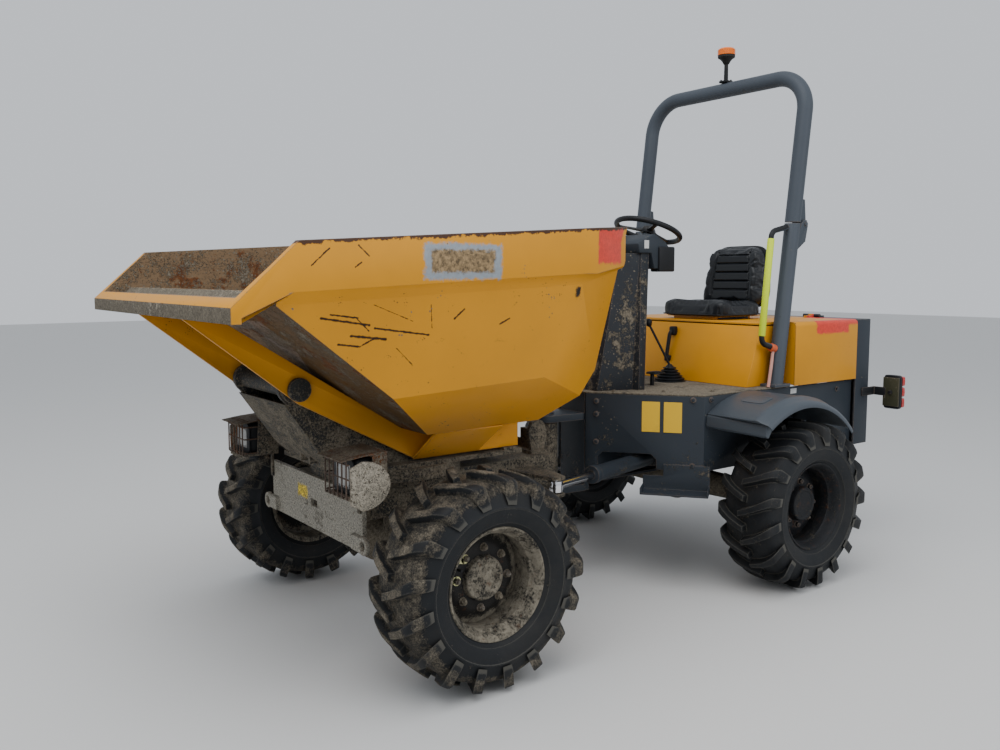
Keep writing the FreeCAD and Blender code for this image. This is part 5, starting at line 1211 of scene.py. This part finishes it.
def plumped(obj, cap, held):
    """Swells a closed form as a stuffed cover: remeshed, blown up as cloth, its travel capped, then subdivided."""
    modified(obj, "REMESH", mode="VOXEL", voxel_size=0.006)
    modified(obj, "SMOOTH", factor=0.5, iterations=4)
    start = [vertex.co.copy() for vertex in obj.data.vertices]
    pins = obj.vertex_groups.new(name="held")
    pins.add([vertex.index for vertex in obj.data.vertices if held(vertex.co)], 1.0, "REPLACE")
    select(obj)
    cloth = obj.modifiers.new("Cloth", "CLOTH")
    cloth.settings.vertex_group_mass = "held"
    cloth.settings.use_pressure = True
    cloth.settings.uniform_pressure_force = 3.0
    cloth.settings.effector_weights.gravity = 0.0
    cloth.collision_settings.use_collision = False
    cloth.point_cache.frame_start = 1
    cloth.point_cache.frame_end = 20
    for moment in range(1, 21):
        bpy.context.scene.frame_set(moment)
    bpy.ops.object.modifier_apply(modifier=cloth.name)
    bpy.context.scene.frame_set(1)
    obj.vertex_groups.clear()
    for vertex, place in zip(obj.data.vertices, start):
        travel = vertex.co - place
        if travel.length > cap:
            vertex.co = place + travel.normalized() * cap
    return modified(obj, "SUBSURF", levels=1, render_levels=1)


def groove(distance, width, depth):
    return depth * math.exp(-(distance / width) ** 2)


def soft_ring(centre, half_width, half_height, power, at, steps=48):
    """Points of a rounded rectangle, each put in space by the function at(across, up)."""
    points = []
    for i in range(steps):
        angle = math.tau * i / steps
        c, s = math.cos(angle), math.sin(angle)
        points.append(at(centre[0] + half_width * math.copysign(abs(c) ** power, c),
                         centre[1] + half_height * math.copysign(abs(s) ** power, s)))
    return points


class DUMPER_OT_seat(Operator):
    """Model the seat's cushion and backrest as stuffed vinyl with sewn channels"""
    bl_idname = "dumper.seat"
    bl_label = "Seat"

    def execute(self, context):
        front, base = 0.985, 1.3015
        cushion = extruded(soft_ring((0, front + 0.190), 0.232, 0.182, 0.30, lambda x, y: (x, y, base)),
                           (0, 0, 0.060), 0.018, 4)
        cushion = plumped(cushion, 0.016, lambda co: co.z < base + 0.004)
        for vertex in cushion.data.vertices:
            x, y, z = vertex.co
            if z < base + 0.030:
                continue
            lift = 0.010 * min(1.0, abs(x) / 0.2) ** 2 + 0.012 * math.exp(-((y - front - 0.05) / 0.06) ** 2)
            inside = 1.0 if abs(x) < 0.150 and front + 0.075 < y < front + 0.315 else 0.0
            cut = sum(groove(y - front - step, 0.0045, 0.008) for step in (0.120, 0.190, 0.260)) * inside
            cut = max(cut, groove(abs(x) - 0.155, 0.0050, 0.009) * (1.0 if front + 0.06 < y < front + 0.33
                                                                    else 0.0))
            vertex.co.z = z + lift * (z - base) / 0.08 - cut
        finished(cushion, "seat_cushion_pad", "cover", "seat_vinyl", "vinyl_look",
                 stands_for=["seat_cushion"], smooth=60)
        piping = tube(soft_ring((0, front + 0.190), 0.234, 0.184, 0.30, lambda x, y: (x, y, base + 0.008),
                                32) + [(0.234, front + 0.190, base + 0.008)], 0.0035, 0.01, 3, 3)
        finished(piping, "cushion_piping", "cover", "seat_vinyl", "vinyl_look", smooth=60)
        base_tray = extruded(soft_ring((0, front + 0.200), 0.165, 0.150, 0.35, lambda x, y: (x, y, 1.2715)),
                             (0, 0, 0.032), 0.004)
        finished(base_tray, "seat_base", "cover", "black_plastic", "plastic_look")
        lean = 0.11

        def on_back(x, up, depth=0.0):
            half = 1.0 - 0.20 * max(0.0, up - 0.10) / 0.22
            return (x * half, front + 0.350 + lean * up + depth, 1.383 + up)

        ring = soft_ring((0, 0.134), 0.216, 0.172, 0.34, on_back)
        back = plumped(extruded(ring, (0, 0.058, 0), 0.020, 4), 0.014,
                       lambda co: co.y > front + 0.400 + lean * (co.z - 1.383))
        for vertex in back.data.vertices:
            x, y, z = vertex.co
            up = z - 1.383
            front_y = front + 0.372 + lean * up
            if y > front_y:
                continue
            share = min(1.0, (front_y - y) / 0.02)
            wide = 0.128 * (1.0 - 0.20 * max(0.0, up - 0.10) / 0.22)
            inside = 1.0 if abs(x) < wide and 0.045 < up < 0.262 else 0.0
            cut = sum(groove(up - step, 0.0042, 0.011) for step in (0.060, 0.110, 0.160, 0.210, 0.258)) * inside
            cut = max(cut, groove(abs(x) - wide - 0.004, 0.0055, 0.011) * (1.0 if 0.030 < up < 0.275 else 0.0))
            bolster = 0.020 * math.exp(-((abs(x) - 0.172) / 0.030) ** 2) * (1.0 if up < 0.27 else 0.0)
            vertex.co.y = y + share * (cut - bolster)
        finished(back, "seat_backrest_pad", "cover", "seat_vinyl", "vinyl_look",
                 stands_for=["seat_backrest"], smooth=60)
        shell = extruded(soft_ring((0, 0.134), 0.224, 0.178, 0.36, lambda x, up: on_back(x, up, 0.062)),
                         (0, 0.012, 0), 0.004)
        finished(shell, "backrest_shell", "cover", "black_plastic", "plastic_look")
        return {"FINISHED"}


def make_lug():
    """One bar of the tread at the top of the wheel, thick over the middle and running down the shoulder."""
    # across the wheel, middle and half width along the tread, top and foot radius
    stations = ((-0.012, -0.046, 0.0135, 0.4093, 0.372), (0.030, -0.030, 0.0140, 0.4093, 0.372),
                (0.070, -0.013, 0.0150, 0.4085, 0.370), (0.104, 0.006, 0.0170, 0.4050, 0.364),
                (0.128, 0.020, 0.0195, 0.3985, 0.352), (0.1435, 0.030, 0.0215, 0.3900, 0.338),
                (0.1500, 0.036, 0.0225, 0.3790, 0.322), (0.1530, 0.040, 0.0225, 0.3560, 0.312),
                (0.1545, 0.043, 0.0215, 0.3280, 0.300))
    sections = []
    for a, middle, half, top, foot in stations:
        flare = half + 0.005
        corners = ((middle - flare, foot), (middle - half, top), (middle + half, top),
                   (middle + flare, foot))
        sections.append([(a, r * math.sin(t / 0.4), r * math.cos(t / 0.4)) for t, r in corners])
    return bevelled(loft(sections), 0.0035, 2, 38)


def make_tyre():
    """The carcass with its bead and sidewall steps, and the lugs of both halves."""
    w = wheels()
    # across the wheel, radius
    wall = [(0.1055, 0.1965), (0.1190, 0.2105), (0.1215, 0.2165), (0.1330, 0.2290), (0.1345, 0.2300),
            (0.1360, 0.2295), (0.1450, 0.2500), (0.1495, 0.2700), (0.1510, 0.2850), (0.1530, 0.2870),
            (0.1535, 0.2900), (0.1525, 0.2930), (0.1490, 0.2980), (0.1430, 0.3150), (0.1370, 0.3350),
            (0.1290, 0.3520), (0.1150, 0.3640), (0.0900, 0.3710), (0.0500, 0.3750), (0.0000, 0.3760)]
    around = wall + [(-a, r) for a, r in reversed(wall[:-1])]
    parts = [lathe(around, steps=102)]
    lug = make_lug()
    pitch = 360.0 / w.lug_count
    lug_offset = 0.064
    lowest = 180.0 + math.degrees(math.asin(lug_offset / AXLE_HEIGHT))
    for i in range(w.lug_count):
        turn = Matrix.Rotation(math.radians(lowest + i * pitch), 4, "X")
        half_turn = Matrix.Rotation(math.radians(lowest + (i + 0.5) * pitch), 4, "X")
        parts.append(copied(lug, turn))
        parts.append(copied(lug, half_turn @ Matrix.Scale(-1, 4, X_AXIS)))
    drop(lug)
    return joined(*parts)


def make_nut():
    """A wheel nut on its washer, standing on the disc at the origin."""
    washer = rod((0, 0, 0), (0.003, 0, 0), 0.0165, 24, 0.0008)
    nut = rod((0.002, 0, 0), (0.017, 0, 0), 0.0125, 6, 0.0014)
    stud = rod((0.010, 0, 0), (0.023, 0, 0), 0.0072, 16, 0.0012)
    return joined(washer, nut, stud)


def make_rim(face_x, cap_x, nut_circle):
    """The pressed rim: rolled flanges, the drop well, the dished disc and the hub with its raised edge."""
    barrel = [(0.1165, 0.2050), (0.1165, 0.2125), (0.1205, 0.2145), (0.1245, 0.2125), (0.1245, 0.2080),
              (0.1200, 0.2030), (0.1120, 0.1985), (0.1000, 0.1900), (0.0840, 0.1875), (0.0740, 0.1790),
              (0.0300, 0.1770), (0.0180, 0.1835), (-0.1000, 0.1885), (-0.1150, 0.1920), (-0.1210, 0.2020),
              (-0.1240, 0.2080), (-0.1240, 0.2125), (-0.1180, 0.2125), (-0.1130, 0.1955), (-0.0300, 0.1955),
              (0.0100, 0.1890), (0.0350, 0.1850), (0.0700, 0.1850), (0.0800, 0.1930), (0.1050, 0.1950)]
    disc = [(face_x, 0.0), (face_x, 0.118), (face_x - 0.002, 0.128), (face_x - 0.010, 0.140),
            (face_x - 0.026, 0.166), (face_x - 0.032, 0.182), (face_x - 0.042, 0.182),
            (face_x - 0.036, 0.160), (face_x - 0.012, 0.118), (face_x - 0.012, 0.0)]
    hub = [(cap_x - 0.004, 0.0), (cap_x - 0.004, 0.060), (cap_x - 0.001, 0.064), (cap_x, 0.067),
           (cap_x, 0.077), (cap_x - 0.003, 0.0815), (cap_x - 0.010, 0.0840), (face_x + 0.004, 0.0850),
           (face_x, 0.0880), (-0.060, 0.0840), (-0.060, 0.0330), (0.0345, 0.0330), (0.0345, 0.0)]
    parts = [lathe(barrel, steps=96), lathe(disc, steps=96), lathe(hub, steps=64)]
    nut = make_nut()
    nuts = []
    for i in range(8):
        angle = math.radians(4 + 45 * i)
        place = Matrix.Translation((face_x, -nut_circle * math.cos(angle), nut_circle * math.sin(angle)))
        nuts.append(copied(nut, place @ Matrix.Rotation(angle * 7, 4, "X")))
    drop(nut)
    return joined(*parts), joined(*nuts)


def make_wheel_tags(face_x, nut_circle):
    """Two loose nut pointers and the valve stem between them."""
    parts = []
    for degrees, lean in ((4, 150), (47, 200)):
        angle = math.radians(degrees)
        y, z = -nut_circle * math.cos(angle), nut_circle * math.sin(angle)
        ring = rod((face_x + 0.0032, y, z), (face_x + 0.0062, y, z), 0.0175, 24, 0.0008)
        turn = math.radians(lean)
        tip = [(face_x + 0.0032, y + 0.034 * math.cos(turn + s) * r, z + 0.034 * math.sin(turn + s) * r)
               for s, r in ((0, 1.0), (1.15, 0.5), (-1.15, 0.5))]
        parts += [ring, extruded(tip, (0.003, 0, 0), 0.0006)]
    angle = math.radians(25)
    y, z = -0.132 * math.cos(angle), 0.132 * math.sin(angle)
    stem = rod((face_x - 0.018, y, z), (face_x + 0.022, y * 0.95, z * 0.95), 0.0042, 12)
    cap = rod((face_x + 0.018, y * 0.955, z * 0.955), (face_x + 0.033, y * 0.93, z * 0.93), 0.0058, 12,
              0.001)
    return joined(*parts), joined(stem, cap)


class DUMPER_OT_wheels(Operator):
    """Model the four tyres and rims"""
    bl_idname = "dumper.wheels"
    bl_label = "Wheels"

    def execute(self, context):
        w = wheels()
        tyre = make_tyre()
        rims = {"front": make_rim(w.front_dish + DISC_HALF, 0.040, FRONT_NUT_CIRCLE),
                "rear": make_rim(w.rear_dish + DISC_HALF, 0.066, REAR_NUT_CIRCLE)}
        tags, valve = make_wheel_tags(w.front_dish + DISC_HALF, FRONT_NUT_CIRCLE)
        for corner, side, axle_y in (("front_left", 1, FRONT_AXLE), ("front_right", -1, FRONT_AXLE),
                                     ("rear_left", 1, REAR_AXLE), ("rear_right", -1, REAR_AXLE)):
            end = corner.split("_")[0]
            place = Matrix.Translation((side * WHEEL_OFFSET, axle_y, AXLE_HEIGHT)) @ Matrix.Scale(side, 4, X_AXIS)
            body = "wheel_" + corner
            finished(copied(tyre, place), "tyre_tread_" + corner, body, "tyre", "tyre_rubber",
                     stands_for=["tyre_" + corner], smooth=34)
            plate, nuts = rims[end]
            finished(copied(plate, place), "rim_disc_" + corner, body, end + "_rim",
                     "rim_" + end + "_paint", stands_for=["rim_" + corner])
            finished(copied(nuts, place), "wheel_nuts_" + corner, body, end + "_rim", "nut_" + end)
            if end == "front":
                finished(copied(tags, place), "nut_tags_" + corner, body, "rail_yellow", "tag_pale")
            finished(copied(valve, place), "valve_" + corner, body, "black_plastic", "hose_rubber")
        drop(tyre, tags, valve, *rims["front"], *rims["rear"])
        return {"FINISHED"}


class DUMPER_OT_stage(Operator):
    """Set the floor, the even light and the camera"""
    bl_idname = "dumper.stage"
    bl_label = "Stage"

    def execute(self, context):
        scene = context.scene
        s = scene.dumper_stage
        deselect()
        bpy.ops.mesh.primitive_plane_add(size=60, location=(0, 0, 0))
        floor = context.object
        floor.name = "floor"
        shader = new_material("floor_pale")[1]
        shader.inputs["Base Color"].default_value = (0.62, 0.62, 0.61, 1)
        shader.inputs["Roughness"].default_value = 0.75
        floor.data.materials.append(bpy.data.materials["floor_pale"])
        world = bpy.data.worlds.new("Even light")
        world.use_nodes = True
        world.node_tree.nodes["Background"].inputs["Color"].default_value = (0.86, 0.90, 0.96, 1)
        world.node_tree.nodes["Background"].inputs["Strength"].default_value = s.sky
        scene.world = world
        for name, place, size, power in (("overhead", (1.5, -2.5, 6.5), 6.0, 330.0),
                                         ("fill", (5.5, 1.5, 3.5), 4.0, 90.0)):
            bpy.ops.object.light_add(type="AREA", location=place)
            light = context.object
            light.name = name
            light.data.size = size
            light.data.energy = power
            light.rotation_euler = (Vector((0, 0, 0.9)) - Vector(place)).to_track_quat("-Z", "Y").to_euler()
        bpy.ops.object.camera_add(location=s.camera_place)
        camera = context.object
        heading, tilt, roll = math.radians(s.azimuth), math.radians(s.pitch), math.radians(s.roll)
        camera.rotation_mode = "XYZ"
        turn = Matrix.Rotation(heading, 4, "Z") @ Matrix.Rotation(math.pi / 2 - tilt, 4, "X")
        camera.matrix_world = Matrix.Translation(s.camera_place) @ turn @ Matrix.Rotation(roll, 4, "Z")
        camera.data.sensor_width = 36
        camera.data.lens = s.focal
        camera.data.clip_end = 200
        scene.camera = camera
        return {"FINISHED"}


class DUMPER_PT_panel(Panel):
    """Lists the steps in their order"""
    bl_label = "Site dumper"
    bl_idname = "DUMPER_PT_panel"
    bl_space_type = "VIEW_3D"
    bl_region_type = "UI"
    bl_category = "Dumper"

    def draw(self, context):
        for step in STEPS:
            self.layout.operator(step.bl_idname)


STEPS = (DUMPER_OT_materials, DUMPER_OT_skip, DUMPER_OT_swivel, DUMPER_OT_rams, DUMPER_OT_front,
         DUMPER_OT_rear, DUMPER_OT_bodywork, DUMPER_OT_hoop, DUMPER_OT_handwheel, DUMPER_OT_seat,
         DUMPER_OT_wheels, DUMPER_OT_stage)
GROUPS = (("dumper_paint", PaintSettings), ("dumper_wheels", WheelSettings),
          ("dumper_stage", StageSettings))


def register():
    for name, group in GROUPS:
        bpy.utils.register_class(group)
        setattr(bpy.types.Scene, name, PointerProperty(type=group))
    for step in STEPS:
        bpy.utils.register_class(step)
    bpy.utils.register_class(DUMPER_PT_panel)


def unregister():
    bpy.utils.unregister_class(DUMPER_PT_panel)
    for step in reversed(STEPS):
        bpy.utils.unregister_class(step)
    for name, group in reversed(GROUPS):
        delattr(bpy.types.Scene, name)
        bpy.utils.unregister_class(group)


def main():
    register()
    for step in STEPS:
        family, action = step.bl_idname.split(".")
        getattr(getattr(bpy.ops, family), action)()


if __name__ == "__main__":
    main()
